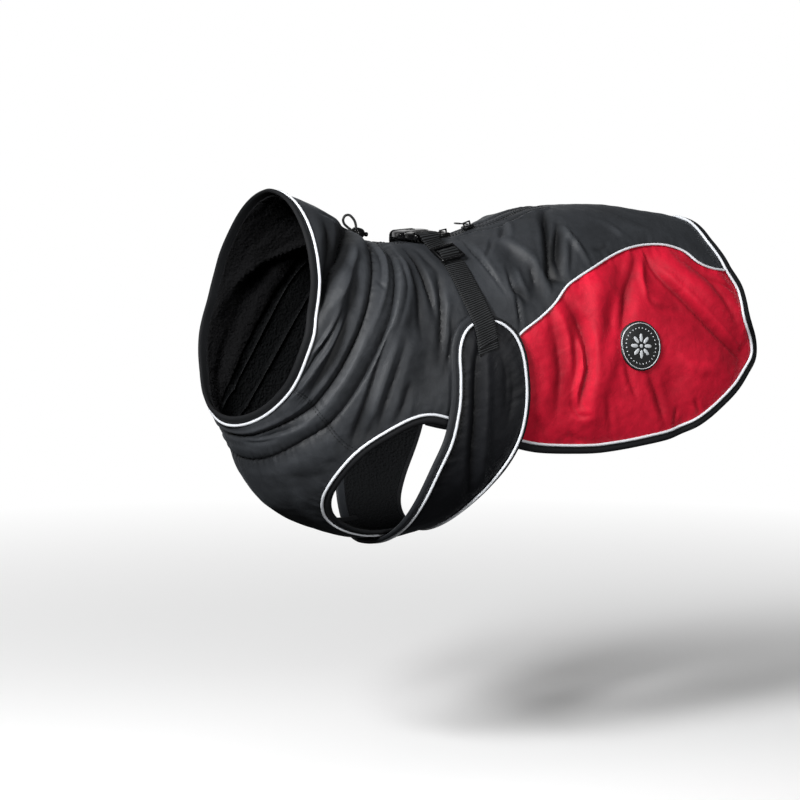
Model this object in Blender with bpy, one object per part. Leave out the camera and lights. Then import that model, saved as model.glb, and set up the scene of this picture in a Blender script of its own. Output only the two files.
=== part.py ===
"""A worn, padded dog coat with a stand collar, red side panels, a belly band and a buckled strap.

Units are metres with +Z up. The neck opens towards -X and the coat's left flank faces -Y. The origin
lies on the inner face of the back at the withers, where the wearer holds the coat up.

Every piece is laid out on one smooth figure: a station is (along, around), with along in millimetres
from the neck edge to the rump and around in degrees, 0 on the spine, 90 on the left flank, 180 below.
"""

from collections import namedtuple
from math import atan2, cos, exp, hypot, pi, radians, sin

import bmesh
import bpy
from mathutils import Matrix, Vector

MM = 0.001
MM_PER_DEGREE = 1.55  # length of one degree around the figure, used to space stations

# Cloth
WALL = 2.5
SEAM_GAP = 0.4
LINING_WALL = 1.0
LINING_GAP = 0.5
BAND_LIFT = 5.4  # the belly band lies over the back and side panels
BINDING_WIDTH = 7.0
COLLAR_BINDING_WIDTH = 8.0
PIPING_RADIUS = 1.5
PIPING_GAP = 0.35
PATCH_RADIUS = 22.5
PATCH_WALL = 1.2
PATCH_LIFT = 4.4

# Webbing and hard parts
WEBBING_WIDTH = 20.0
WEBBING_WALL = 1.4
BUCKLE_LENGTH = 43.0
BUCKLE_WIDTH = 27.0
BUCKLE_HEIGHT = 8.0
BUCKLE_LIFT = 4.6
BUCKLE_BAR = 3.4  # at each end, where the webbing turns back
BUCKLE_SLOT = 4.6
BUCKLE_SKIN = 1.7  # top and bottom of the socket
BUCKLE_CHEEK = 2.5  # sides of the socket
BUCKLE_WINDOW = 11.0  # cut in each cheek for a button
BUCKLE_WINDOW_HEIGHT = 3.6
BUCKLE_BUTTON_BACK = 10.5  # from the socket's mouth to the middle of a button
BUTTON_LENGTH = 8.6
BUTTON_WIDTH = 6.4
PRONG_WIDTH = 3.2
PRONG_HEIGHT = 2.6
TONGUE_WIDTH = 6.0
STRAP_SLIDER_WIDTH = 27.0
STRAP_SLIDER_LENGTH = 18.0
STRAP_SLIDER_WALL = 2.4
STRAP_SLIDER_BAR = 3.2
STRAP_SLIDER_GAP = 1.1  # over the webbing below it
ZIP_HALF_WIDTH = 4.0  # degrees either side of the spine
ZIP_SLIDER_LENGTH = 10.0
ZIP_SLIDER_WIDTH = 8.0
ZIP_SLIDER_HEIGHT = 3.4
ZIP_SLIDER_GAP = 0.3  # over the chain
ARCH_WIDTH = 1.4
ARCH_BAR = 1.3
ARCH_LENGTH = 7.6
PULL_AXIS_HEIGHT = 1.1  # above the top of the slider's body
PULL_LENGTH = 13.0
PULL_WIDTH = 5.0
PULL_WALL = 1.2
PULL_EYE_BAR = 1.2  # turns inside the slider's arch
PULL_EYE_LENGTH = 5.4
PULL_EYE_WIDTH = 2.6
CORD_RADIUS = 1.4
CORD_LOCK_RADIUS = 4.8
CORD_LOCK_LENGTH = 11.5

Section = namedtuple(
    "Section", "along top_x top_z bottom_x bottom_z half_width drop square egg turn sweep"
)
# Girths of the figure. drop pulls the flanks down, square and egg shape the round, turn is the neck's
# yaw in degrees and sweep leans the flanks back. The rest is in millimetres.
SECTIONS = (
    Section(0, -127, 50, -168, -146, 78, 0.02, 0.00, 0.05, 10, 8),
    Section(48, -84, 33, -166, -152, 79, 0.02, 0.00, 0.05, 8, 5),
    Section(80, -56, 14, -164, -158, 80, 0.02, 0.02, 0.04, 6, 2),
    Section(102, -38, 2, -159, -167, 80, 0.02, 0.04, 0.00, 5, 0),
    Section(122, -20, 0, -152, -187, 83, 0.02, 0.04, 0.00, 4, 0),
    Section(155, 12, 0, -124, -229, 88, 0.02, 0.04, 0.00, 2, 0),
    Section(190, 46, 3, -57, -257, 92, 0.03, 0.04, 0.00, 0, 0),
    Section(222, 76, 11, 10, -250, 94, 0.04, 0.05, 0.00, 0, 0),
    Section(252, 104, 21, 62, -238, 94, 0.05, 0.05, 0.00, 0, 0),
    Section(285, 136, 27, 118, -232, 92, 0.06, 0.06, 0.00, 0, 0),
    Section(320, 170, 28, 165, -236, 89, 0.08, 0.06, 0.00, 0, 0),
    Section(365, 215, 26, 218, -238, 86, 0.10, 0.06, 0.00, 0, 0),
    Section(410, 260, 19, 268, -232, 82, 0.10, 0.05, 0.00, 0, 0),
    Section(450, 299, 10, 308, -215, 75, 0.10, 0.04, 0.00, 0, 0),
    Section(490, 332, -10, 338, -190, 64, 0.10, 0.03, 0.00, 0, 0),
    Section(520, 349, -38, 355, -165, 50, 0.10, 0.03, 0.00, 0, 0),
)

Fold = namedtuple("Fold", "along around to_along to_around depth half_width")
# The largest folds of the left flank, a ridge with a positive depth and a trough with a negative one.
FOLDS = (
    Fold(62, 20, 14, 88, -5.0, 12),  # collar, from the neck band down the flank
    Fold(64, 50, 84, 112, -3.5, 10),  # collar, behind the first
    Fold(50, 60, 60, 122, 3.0, 12),
    Fold(139, 18, 152, 62, -3.5, 11),  # shoulder, fanning from the withers
    Fold(128, 34, 152, 96, 3.0, 12),
    Fold(141, 72, 151, 108, -3.5, 11),
    Fold(164, 42, 176, 84, -3.0, 12),
    Fold(214, 30, 230, 50, 3.0, 11),  # behind the strap
    Fold(232, 36, 252, 56, -4.0, 11),
    Fold(280, 20, 268, 46, -4.5, 10),
    Fold(341, 52, 326, 72, -4.5, 11),  # side panel
    Fold(308, 58, 304, 106, 4.5, 13),
    Fold(292, 74, 291, 104, -4.0, 10),
    Fold(372, 50, 470, 90, -4.5, 14),
    Fold(392, 46, 478, 72, 3.5, 12),
    Fold(384, 98, 396, 112, -3.0, 11),
    Fold(150, 150, 168, 170, -3.0, 12),  # chest
)
FAR_FOLD_SHIFT = 8.0  # the hidden flank's folds lie a little further back
FAR_FOLD_SCALE = 0.85

Run = namedtuple("Run", "cells stations")
# Edges of the left half's panels, as (along, around), each run crossed by a number of cells.
NECK_EDGE_BACK = (
    Run(11, ((3, 0), (5, 12), (6, 36), (7, 50), (8, 64), (11, 76), (13, 96), (16, 111), (32, 128))),
)
NECK_EDGE_FRONT = (Run(6, ((32, 128), (39, 146), (40, 165), (40, 180))),)
BAND_FRONT_BACK = (Run(11, ((96, 0), (91, 28), (93, 51), (100, 71), (105, 87), (108, 102), (108, 120))),)
BAND_FRONT_CHEST = (Run(6, ((108, 120), (99, 137), (90, 157), (88, 180))),)
BAND_REAR_BACK = (Run(11, ((113, 0), (115, 30), (121, 50), (127, 66), (130, 84), (131, 104), (129, 119))),)
BAND_REAR_CHEST = (Run(6, ((129, 119), (123, 134), (120, 150), (118, 180))),)
SHOULDER_SEAM = Run(2, ((129, 119), (155, 118)))
ARMHOLE_BACK = Run(4, ((155, 118), (161, 110), (168, 102.5), (176, 96.5), (188, 93.5), (204, 98)))
ARMHOLE_CHEST = Run(7, ((155, 118), (154, 129), (156, 140), (162, 150), (175, 160), (204, 163)))
SIDE_SEAM = Run(
    18,
    (
        (204, 98), (220, 83), (237, 70.5), (260, 67), (276, 59), (306, 50), (330, 44), (356, 39),
        (379, 38), (401, 39), (418, 43), (435, 46.5), (462, 45.5),
    ),
)
SIDE_FRONT = (Run(7, ((204, 98), (207, 104))),)
SIDE_HEM = Run(
    18,
    (
        (207, 104), (229, 109), (253, 114), (284, 121), (318, 122), (355, 118.5), (395, 114.5),
        (422, 111), (448, 108), (476, 103), (494, 93),
    ),
)
SIDE_REAR = Run(7, ((462, 45.5), (474, 57), (482, 66), (487, 75), (493, 84), (494, 93)))
BACK_REAR = Run(11, ((443, 0), (444, 5), (449, 13), (455, 27), (462, 45.5)))
SPINE = (
    Run(9, ((113, ZIP_HALF_WIDTH), (238, ZIP_HALF_WIDTH))),
    Run(1, ((238, ZIP_HALF_WIDTH), (252, 0))),
    Run(14, ((252, 0), (443, 0))),
)
WING_TOP_FRONT = (198, 60.3)
WING_TOP_REAR = (215, 60.5)
BELLY_FRONT = Run(
    14,
    (
        WING_TOP_FRONT, (194, 62.5), (192, 67), (193, 74), (197, 87), (200, 98), (202, 120),
        (202, 150), (200, 180),
    ),
)
BELLY_REAR = Run(
    14,
    (
        WING_TOP_REAR, (223, 62.8), (231, 67), (238, 72.5), (245, 80), (249, 91), (250, 100), (246, 109),
        (238, 117), (230, 127), (225, 142), (224, 160), (224, 180),
    ),
)
BELLY_TOP = Run(5, (WING_TOP_FRONT, (206.5, 59.5), WING_TOP_REAR))

StrapStation = namedtuple("StrapStation", "along around lift")
STRAP = (
    StrapStation(212, 72.5, 9.2),
    StrapStation(209, 68, 9.2),
    StrapStation(205, 61, 9.6),
    StrapStation(199, 53, 7.0),
    StrapStation(191, 44, 4.6),
    StrapStation(183, 33, 4.4),
    StrapStation(176, 24.5, 4.6),
    StrapStation(168, 19.5, 4.8),
    StrapStation(162.5, 17.0, 6.6),
    StrapStation(160.5, 14.4, 8.6),
)
STRAP_END = (StrapStation(212.5, 73.2, 11.0), StrapStation(209.5, 68.5, 11.0))
STRAP_SLIDER_ROW = 6  # of STRAP, where the slider sits
BUCKLE_AT = (159, 0)
ZIP_SLIDERS = {"front": 189, "rear": 216}
PULL_REST = {"front": 4, "rear": 22}  # degrees above the slider's own plane
PATCH_AT = (351, 79.5)
CORD_LOCK_AT = Vector((-40.2, 0.0, 13.4))
CORD_LOCK_PITCH = 20  # degrees, with its plunger end down
CORD_LOCK_SIDES = 16

Turning = namedtuple("Turning", "reach radius")
# The lock's turned outline, as shares of CORD_LOCK_LENGTH and CORD_LOCK_RADIUS; its plunger is last.
CORD_LOCK_OUTLINE = (
    Turning(-0.50, 0.55),
    Turning(-0.42, 0.86),
    Turning(-0.20, 1.00),
    Turning(0.20, 0.96),
    Turning(0.42, 0.74),
    Turning(0.50, 0.50),
    Turning(0.52, 0.38),
    Turning(0.78, 0.38),
    Turning(0.84, 0.25),
)
CORD_LOOP = (
    Vector((-46.6, -1.7, 16.6)),
    Vector((-47.4, -1.8, 22.0)),
    Vector((-51.0, -0.8, 28.2)),
    Vector((-56.0, 0.8, 28.4)),
    Vector((-58.0, 2.0, 23.8)),
    Vector((-53.6, 2.1, 19.8)),
    Vector((-47.0, 1.7, 16.6)),
)

PALETTE = {
    # name: (sRGB colour, roughness, metallic)
    "charcoal cloth": ((0.17, 0.18, 0.20), 0.62, 0.0),
    "red cloth": ((0.75, 0.11, 0.22), 0.55, 0.0),
    "black fleece": ((0.05, 0.05, 0.055), 0.95, 0.0),
    "black binding": ((0.06, 0.06, 0.065), 0.8, 0.0),
    "white piping": ((0.90, 0.91, 0.92), 0.4, 0.0),
    "black webbing": ((0.05, 0.05, 0.055), 0.85, 0.0),
    "black plastic": ((0.03, 0.03, 0.033), 0.3, 0.0),
    "black zip": ((0.05, 0.05, 0.055), 0.5, 0.0),
    "black painted metal": ((0.05, 0.05, 0.055), 0.35, 0.6),
    "black cord": ((0.04, 0.04, 0.045), 0.75, 0.0),
    "patch": ((0.08, 0.08, 0.085), 0.6, 0.0),
}


# ---------------------------------------------------------------- the figure


def section_at(along):
    """The girth at a place along the back, smoothly between the rows of SECTIONS."""
    last = len(SECTIONS) - 2
    index = max(i for i in range(last + 1) if i == 0 or SECTIONS[i].along <= along)
    before, start = SECTIONS[max(index - 1, 0)], SECTIONS[index]
    end, after = SECTIONS[index + 1], SECTIONS[min(index + 2, last + 1)]
    span = end.along - start.along
    t = (along - start.along) / span
    values = []
    for a, p, q, b in zip(before, start, end, after):
        slope_p = (q - a) / (end.along - before.along) * span
        slope_q = (b - p) / (after.along - start.along) * span
        values.append(
            (2 * t**3 - 3 * t**2 + 1) * p
            + (t**3 - 2 * t**2 + t) * slope_p
            + (3 * t**2 - 2 * t**3) * q
            + (t**3 - t**2) * slope_q
        )
    return Section(*values)


def form(along, around):
    """The point of the figure at a station, in millimetres."""
    s = section_at(along)
    angle = radians(around)
    turn = radians(s.turn)
    height = cos(angle) - s.drop * sin(angle) ** 2
    width = s.half_width * (sin(angle) + s.square * sin(3 * angle) - s.egg * sin(2 * angle))
    x = (s.top_x + s.bottom_x) / 2 + (s.top_x - s.bottom_x) / 2 * height
    z = (s.top_z + s.bottom_z) / 2 + (s.top_z - s.bottom_z) / 2 * height
    return Vector((x + width * sin(turn) + s.sweep * sin(angle) ** 2, -width * cos(turn), z))


def form_axes(along, around):
    """Unit vectors of the figure at a station: towards the tail, round to the left, and outwards."""
    step = 0.5
    tailward = (form(along + step, around) - form(along - step, around)).normalized()
    roundward = (form(along, around + step) - form(along, around - step)).normalized()
    outward = roundward.cross(tailward).normalized()
    return tailward, roundward, outward


def fold_height(along, around):
    """How far the folds raise the cloth at a station, in millimetres."""
    around = (around + 180) % 360 - 180
    shift, scale = (0.0, 1.0) if around >= 0 else (FAR_FOLD_SHIFT, FAR_FOLD_SCALE)
    height = 0.0
    for fold in FOLDS:
        run = fold.to_along - fold.along
        rise = (fold.to_around - fold.around) * MM_PER_DEGREE
        off_along = along - shift - fold.along
        off_around = (abs(around) - fold.around) * MM_PER_DEGREE
        t = (off_along * run + off_around * rise) / (run**2 + rise**2)
        t = min(max(t, 0.0), 1.0)
        distance = hypot(off_along - t * run, off_around - t * rise)
        height += scale * fold.depth * exp(-((distance / fold.half_width) ** 2))
    return height


def cloth(along, around, lift):
    """The point that stands lift millimetres off the cloth's inner face, in metres."""
    outward = form_axes(along, around)[2]
    return (form(along, around) + outward * (fold_height(along, around) + lift)) * MM


# ---------------------------------------------------------------- stations


def spline(points, t):
    """A smooth curve through points, with t counting the points from 0."""
    i = min(int(t), len(points) - 2)
    s = t - i
    p0, p1, p2, p3 = (points[min(max(k, 0), len(points) - 1)] for k in (i - 1, i, i + 1, i + 2))
    return tuple(
        0.5 * (2 * b + (c - a) * s + (2 * a - 5 * b + 4 * c - d) * s**2 + (3 * b - a - 3 * c + d) * s**3)
        for a, b, c, d in zip(p0, p1, p2, p3)
    )


def spaced(points, cells):
    """cells + 1 stations evenly spaced along the smooth curve through points."""
    fine = 12
    count = (len(points) - 1) * fine
    curve = [spline(points, i / fine) for i in range(count + 1)]
    lengths = [0.0]
    for a, b in zip(curve, curve[1:]):
        lengths.append(lengths[-1] + hypot(b[0] - a[0], (b[1] - a[1]) * MM_PER_DEGREE))
    stations = []
    k = 0
    for i in range(cells + 1):
        wanted = lengths[-1] * i / cells
        while k < count - 1 and lengths[k + 1] < wanted:
            k += 1
        t = (wanted - lengths[k]) / (lengths[k + 1] - lengths[k])
        stations.append(tuple(a + (b - a) * t for a, b in zip(curve[k], curve[k + 1])))
    return stations


def edge(*runs):
    """The stations of several runs joined end to end."""
    stations = spaced(runs[0].stations, runs[0].cells)
    for run in runs[1:]:
        stations += spaced(run.stations, run.cells)[1:]
    return stations


def mirrored(stations):
    """The same stations on the right flank."""
    return [(along, -around) for along, around in stations]


def across_spine(stations):
    """A left-hand edge that starts on the spine, run on over the spine to the right flank."""
    return mirrored(stations)[::-1] + stations[1:]


def across_belly(stations):
    """A left-hand edge that ends under the belly, run on round to the right flank."""
    return stations + [(along, 360 - around) for along, around in stations[-2::-1]]


def patch_between(front, rear, upper, lower):
    """Stations of a panel inside its four edges: rows from front to rear, each from upper to lower."""
    rows = []
    last_i, last_j = len(upper) - 1, len(front) - 1
    for i in range(last_i + 1):
        s = i / last_i
        row = []
        for j in range(last_j + 1):
            t = j / last_j
            row.append(
                tuple(
                    (1 - t) * upper[i][k] + t * lower[i][k] + (1 - s) * front[j][k] + s * rear[j][k]
                    - (1 - s) * (1 - t) * upper[0][k] - s * (1 - t) * upper[-1][k]
                    - (1 - s) * t * lower[0][k] - s * t * lower[-1][k]
                    for k in (0, 1)
                )
            )
        rows.append(row)
    return rows


def pulled_in(station, towards, distance):
    """A station moved a distance in millimetres towards another."""
    gap = hypot(towards[0] - station[0], (towards[1] - station[1]) * MM_PER_DEGREE)
    t = distance / gap
    return tuple(a + (b - a) * t for a, b in zip(station, towards))


def trimmed(rows, gap=SEAM_GAP / 2):
    """A panel's stations with its outline pulled in by half a seam gap."""
    rows = [list(row) for row in rows]
    for row in rows:
        row[0] = pulled_in(row[0], row[1], gap)
        row[-1] = pulled_in(row[-1], row[-2], gap)
    rows[0] = [pulled_in(a, b, gap) for a, b in zip(rows[0], rows[1])]
    rows[-1] = [pulled_in(a, b, gap) for a, b in zip(rows[-1], rows[-2])]
    return rows


# ---------------------------------------------------------------- objects


def material(name):
    """The named finish of PALETTE as a Principled material."""
    found = bpy.data.materials.get(name)
    if found:
        return found
    colour, roughness, metallic = PALETTE[name]
    made = bpy.data.materials.new(name)
    made.use_nodes = True
    shader = made.node_tree.nodes["Principled BSDF"]
    linear = [c / 12.92 if c <= 0.04045 else ((c + 0.055) / 1.055) ** 2.4 for c in colour]
    shader.inputs["Base Color"].default_value = (*linear, 1.0)
    shader.inputs["Roughness"].default_value = roughness
    shader.inputs["Metallic"].default_value = metallic
    made.diffuse_color = (*linear, 1.0)
    return made


def add_object(name, data, finish):
    """Adds a mesh or curve to the coat's collection under its own name, with its own finish."""
    made = bpy.data.objects.new(name, data)
    data.materials.append(material(finish))
    bpy.data.collections["dog_coat"].objects.link(made)
    return made


def mesh_object(name, bm, finish, matrix=None):
    """Turns a bmesh into an object, with its faces turned outwards."""
    bmesh.ops.recalc_face_normals(bm, faces=bm.faces[:])
    if bm.calc_volume(signed=True) < 0:
        bmesh.ops.reverse_faces(bm, faces=bm.faces[:])
    data = bpy.data.meshes.new(name)
    bm.to_mesh(data)
    bm.free()
    made = add_object(name, data, finish)
    if matrix:
        made.matrix_world = matrix
    return made


def slab(name, cells, place, finish):
    """A wall of cells[0] by cells[1] cells; place(i, j, k) puts inner (k 0) and outer (k 1) corners."""
    bm = bmesh.new()
    bmesh.ops.create_grid(bm, x_segments=cells[0], y_segments=cells[1], size=0.5)
    bmesh.ops.triangulate(bm, faces=bm.faces[:], quad_method="FIXED")
    grown = bmesh.ops.extrude_face_region(bm, geom=bm.faces[:])
    outer = [item for item in grown["geom"] if isinstance(item, bmesh.types.BMVert)]
    bmesh.ops.translate(bm, verts=outer, vec=(0, 0, 1))
    for vertex in bm.verts:
        i = round((vertex.co.x + 0.5) * cells[0])
        j = round((vertex.co.y + 0.5) * cells[1])
        vertex.co = place(i, j, round(vertex.co.z))
    return mesh_object(name, bm, finish)


def panel(name, rows, finish, lift=0.0, wall=WALL):
    """A cloth panel through rows of stations."""
    cells = (len(rows) - 1, len(rows[0]) - 1)
    return slab(name, cells, lambda i, j, k: cloth(*rows[i][j], lift + wall * k), finish)


def edge_frames(stations, lift=0.0):
    """For each station its point, and the unit vectors outwards and across the edge to its left."""
    points = [cloth(s[0], s[1], s[2] if len(s) > 2 else lift) for s in stations]
    frames = []
    for i, station in enumerate(stations):
        ahead = points[min(i + 1, len(points) - 1)] - points[max(i - 1, 0)]
        outward = form_axes(station[0], station[1])[2]
        frames.append((points[i], outward, ahead.cross(outward).normalized()))
    return frames


def band(name, stations, inner, outer, finish, lift=0.0, wall=WALL):
    """A strip beside a line of stations, from inner to outer millimetres across it."""
    frames = edge_frames(stations, lift)

    def place(i, j, k):
        point, outward, across = frames[i]
        return point + (across * (inner if j == 0 else outer) + outward * (wall * k)) * MM

    return slab(name, (len(stations) - 1, 1), place, finish)


def tube(name, points, radius, finish, roundness=0, smooth=False):
    """A round cord or piping through points in metres, with closed ends."""
    data = bpy.data.curves.new(name, "CURVE")
    data.dimensions = "3D"
    data.bevel_depth = radius * MM
    data.bevel_resolution = roundness
    data.use_fill_caps = True
    data.resolution_u = 4 if smooth else 1
    if smooth:
        line = data.splines.new("BEZIER")
        line.bezier_points.add(len(points) - 1)
        for knot, point in zip(line.bezier_points, points):
            knot.co = point
            knot.handle_left_type = knot.handle_right_type = "AUTO"
    else:
        line = data.splines.new("POLY")
        line.points.add(len(points) - 1)
        for knot, point in zip(line.points, points):
            knot.co = (*point, 1.0)
    return add_object(name, data, finish)


def piping(name, stations, lift=0.0):
    """White piping on the seam along a line of stations."""
    height = lift + WALL + PIPING_GAP + PIPING_RADIUS
    return tube(name, [cloth(s[0], s[1], height) for s in stations], PIPING_RADIUS, "white piping")


def box(bm, size, centre, bevel=0.0):
    """Adds a box with rounded edges to a bmesh, in millimetres."""
    made = bmesh.ops.create_cube(bm, size=1.0)["verts"]
    bmesh.ops.scale(bm, verts=made, vec=size)
    bmesh.ops.translate(bm, verts=made, vec=centre)
    if bevel:
        edges = list({e for v in made for e in v.link_edges})
        bmesh.ops.bevel(bm, geom=edges, offset=bevel, segments=2, profile=0.5, affect="EDGES")


def solid_from_boxes(name, adds, cuts, finish, matrix):
    """One solid: a first box joined with the other adds and cut by the cuts, each (size, centre, bevel)."""
    objects = []
    for index, (size, centre, bevel) in enumerate((*adds, *cuts)):
        bm = bmesh.new()
        box(bm, size, centre, bevel)
        bmesh.ops.scale(bm, verts=bm.verts[:], vec=(MM, MM, MM))
        made = mesh_object(name if index == 0 else f"{name}_tool_{index}", bm, finish)
        objects.append(made)
    solid, tools = objects[0], objects[1:]
    for index, tool in enumerate(tools):
        modifier = solid.modifiers.new(tool.name, "BOOLEAN")
        modifier.operation = "UNION" if index < len(adds) - 1 else "DIFFERENCE"
        modifier.solver = "EXACT"
        modifier.object = tool
    applied = bpy.data.meshes.new_from_object(
        solid.evaluated_get(bpy.context.evaluated_depsgraph_get())
    )
    solid.modifiers.clear()
    solid.data = applied
    for tool in tools:
        bpy.data.objects.remove(tool)
    solid.matrix_world = matrix
    return solid


def seat(along, around, lift, heading=0.0):
    """The frame of a hard part on the cloth: X towards the tail, Y to the right, Z outwards."""
    tailward, roundward, outward = form_axes(along, around)
    across = outward.cross(tailward).normalized()
    turn = Matrix((tailward, across, outward)).transposed().to_4x4() @ Matrix.Rotation(heading, 4, "Z")
    return Matrix.Translation(cloth(along, around, lift)) @ turn


# ---------------------------------------------------------------- cloth


def left_and_right(build):
    """Builds a piece for each flank: build(side, stations -> stations on that side)."""
    build("left", lambda stations: [tuple(s) for s in stations])
    build("right", mirrored)


def build_collar():
    neck_back = across_spine(edge(*NECK_EDGE_BACK))
    seam_back = across_spine(edge(*BAND_FRONT_BACK))
    neck_front = across_belly(edge(*NECK_EDGE_FRONT))
    seam_front = across_belly(edge(*BAND_FRONT_CHEST))
    collar_cells = 7
    for name, neck, seam in (
        ("collar_back", neck_back, seam_back),
        ("collar_front", neck_front, seam_front),
    ):
        left = spaced((neck[0], seam[0]), collar_cells)
        right = spaced((neck[-1], seam[-1]), collar_cells)
        rows = trimmed(patch_between(left, right, neck, seam))
        panel(name, rows, "charcoal cloth")
        # the fleece that shows inside the neck, on the same stations but for the deepest cell
        lining = [row[:-1] for row in rows]
        panel(f"{name}_lining", lining, "black fleece", -LINING_GAP - LINING_WALL, LINING_WALL)


def build_neck_band():
    front = across_belly(edge(*BAND_FRONT_BACK, *BAND_FRONT_CHEST))
    rear = across_belly(edge(*BAND_REAR_BACK, *BAND_REAR_CHEST))
    cells = 2
    left, right = (spaced((front[end], rear[end]), cells) for end in (0, -1))
    rows = patch_between(front, rear, left, right)
    panel("neck_band", trimmed(rows), "charcoal cloth")


def build_back():
    upper = edge(*SPINE)
    lower = edge(SHOULDER_SEAM, ARMHOLE_BACK, SIDE_SEAM)
    front = [upper[0], *edge(*BAND_REAR_BACK)[1:]]
    rear = edge(BACK_REAR)
    rows = patch_between(front, rear, upper, lower)
    left_and_right(
        lambda side, on_side: panel(
            f"back_{side}", trimmed([on_side(row) for row in rows]), "charcoal cloth"
        )
    )


def build_sides():
    rows = patch_between(edge(*SIDE_FRONT), edge(SIDE_REAR), edge(SIDE_SEAM), edge(SIDE_HEM))
    left_and_right(
        lambda side, on_side: panel(
            f"side_{side}", trimmed([on_side(row) for row in rows]), "red cloth"
        )
    )


def build_chest_bib():
    front = across_belly(edge(*BAND_REAR_CHEST))
    left = edge(SHOULDER_SEAM, ARMHOLE_CHEST)
    right = [(along, 360 - around) for along, around in left]
    rear = spaced((left[-1], (206, 180), right[-1]), len(front) - 1)
    panel("chest_bib", trimmed(patch_between(front, rear, left, right)), "charcoal cloth")


def build_belly_band():
    front = across_belly(edge(BELLY_FRONT))
    rear = across_belly(edge(BELLY_REAR))
    left = edge(BELLY_TOP)
    right = [(along, 360 - around) for along, around in left]
    rows = patch_between(left, right, front, rear)
    panel("belly_band", trimmed(rows), "charcoal cloth", BAND_LIFT)


def build_bindings():
    gap, width = SEAM_GAP, BINDING_WIDTH
    finish = "black binding"
    neck = across_belly(edge(*NECK_EDGE_BACK, *NECK_EDGE_FRONT))
    neck[0], neck[-1] = pulled_in(neck[0], neck[1], gap), pulled_in(neck[-1], neck[-2], gap)
    band("neck_binding", neck, gap, COLLAR_BINDING_WIDTH, finish)
    piping("neck_piping", neck)

    hem = across_spine(edge(BACK_REAR, SIDE_REAR))
    under = edge(SIDE_HEM)[3:]
    hem = mirrored(under)[:-1] + hem + under[-2::-1]
    band("hem_binding", hem, -gap, -width, finish)
    piping("hem_piping", hem)

    rear = across_belly(edge(BELLY_REAR))
    band("belly_band_rear_binding", rear, -gap, -width, finish, BAND_LIFT)
    piping("belly_band_rear_piping", rear, BAND_LIFT)

    def build_side(side, on_side):
        sign = 1 if side == "left" else -1
        armhole = edge(ARMHOLE_BACK)[::-1] + edge(ARMHOLE_CHEST)[1:]
        band(f"armhole_binding_{side}", on_side(armhole), -sign * gap, -sign * width, finish)
        piping(f"armhole_piping_{side}", on_side(armhole[1:-1]))
        front = edge(BELLY_FRONT)[:-2]
        binding = f"belly_band_front_binding_{side}"
        band(binding, on_side(front), sign * gap, sign * width, finish, BAND_LIFT)
        piping(f"belly_band_front_piping_{side}", on_side(front[1:]), BAND_LIFT)
        seam = edge(SIDE_SEAM)[4:-1]
        piping(f"side_piping_{side}", on_side(seam))

    left_and_right(build_side)


def build_patches():
    """Round patches, each a square grid drawn out to a disc."""
    cells = 6
    along_mm = (form(PATCH_AT[0] + 1, PATCH_AT[1]) - form(*PATCH_AT)).length
    around_mm = (form(PATCH_AT[0], PATCH_AT[1] + 1) - form(*PATCH_AT)).length

    def build(side, on_side):
        def place(i, j, k):
            x, y = 2 * i / cells - 1, 2 * j / cells - 1
            disc_x, disc_y = x * (1 - y * y / 2) ** 0.5, y * (1 - x * x / 2) ** 0.5
            along = PATCH_AT[0] + PATCH_RADIUS * disc_x / along_mm
            around = PATCH_AT[1] + PATCH_RADIUS * disc_y / around_mm
            (station,) = on_side([(along, around)])
            return cloth(*station, PATCH_LIFT + PATCH_WALL * k)

        slab(f"patch_{side}", (cells, cells), place, "patch")

    left_and_right(build)


# ---------------------------------------------------------------- webbing and hard parts


def on_flank(station, side):
    """A strap station on the named flank."""
    return station if side == "left" else station._replace(around=-station.around)


def build_straps():
    half = WEBBING_WIDTH / 2
    cells = 12
    for side in ("left", "right"):
        line = spaced([on_flank(s, side) for s in STRAP], cells)
        band(f"strap_{side}", line, -half, half, "black webbing", wall=WEBBING_WALL)
        end = [on_flank(s, side) for s in STRAP_END]
        band(f"strap_end_{side}", spaced(end, 2), -half, half, "black webbing", wall=WEBBING_WALL)


def build_strap_slider():
    """A frame with a middle bar, over the left webbing."""
    wall, bar = STRAP_SLIDER_WALL, STRAP_SLIDER_BAR
    width, length = STRAP_SLIDER_WIDTH, STRAP_SLIDER_LENGTH
    slot = (length - 3 * bar) / 2
    shift = (slot + bar) / 2
    below, above = STRAP[STRAP_SLIDER_ROW - 1], STRAP[STRAP_SLIDER_ROW + 1]
    under = STRAP[STRAP_SLIDER_ROW]
    direction = cloth(below.along, below.around, 0) - cloth(above.along, above.around, 0)
    local = seat(under.along, under.around, 0).to_3x3().inverted() @ direction
    heading = atan2(-local.x, local.y)
    lift = under.lift + WEBBING_WALL + STRAP_SLIDER_GAP + wall / 2
    matrix = seat(under.along, under.around, lift, heading)
    cuts = [((WEBBING_WIDTH + 1, slot, 2 * wall), (0, sign * shift, 0), 0) for sign in (-1, 1)]
    frame = ((width, length, wall), (0, 0, 0), 0.8)
    solid_from_boxes("strap_slider", [frame], cuts, "black plastic", matrix)


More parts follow.
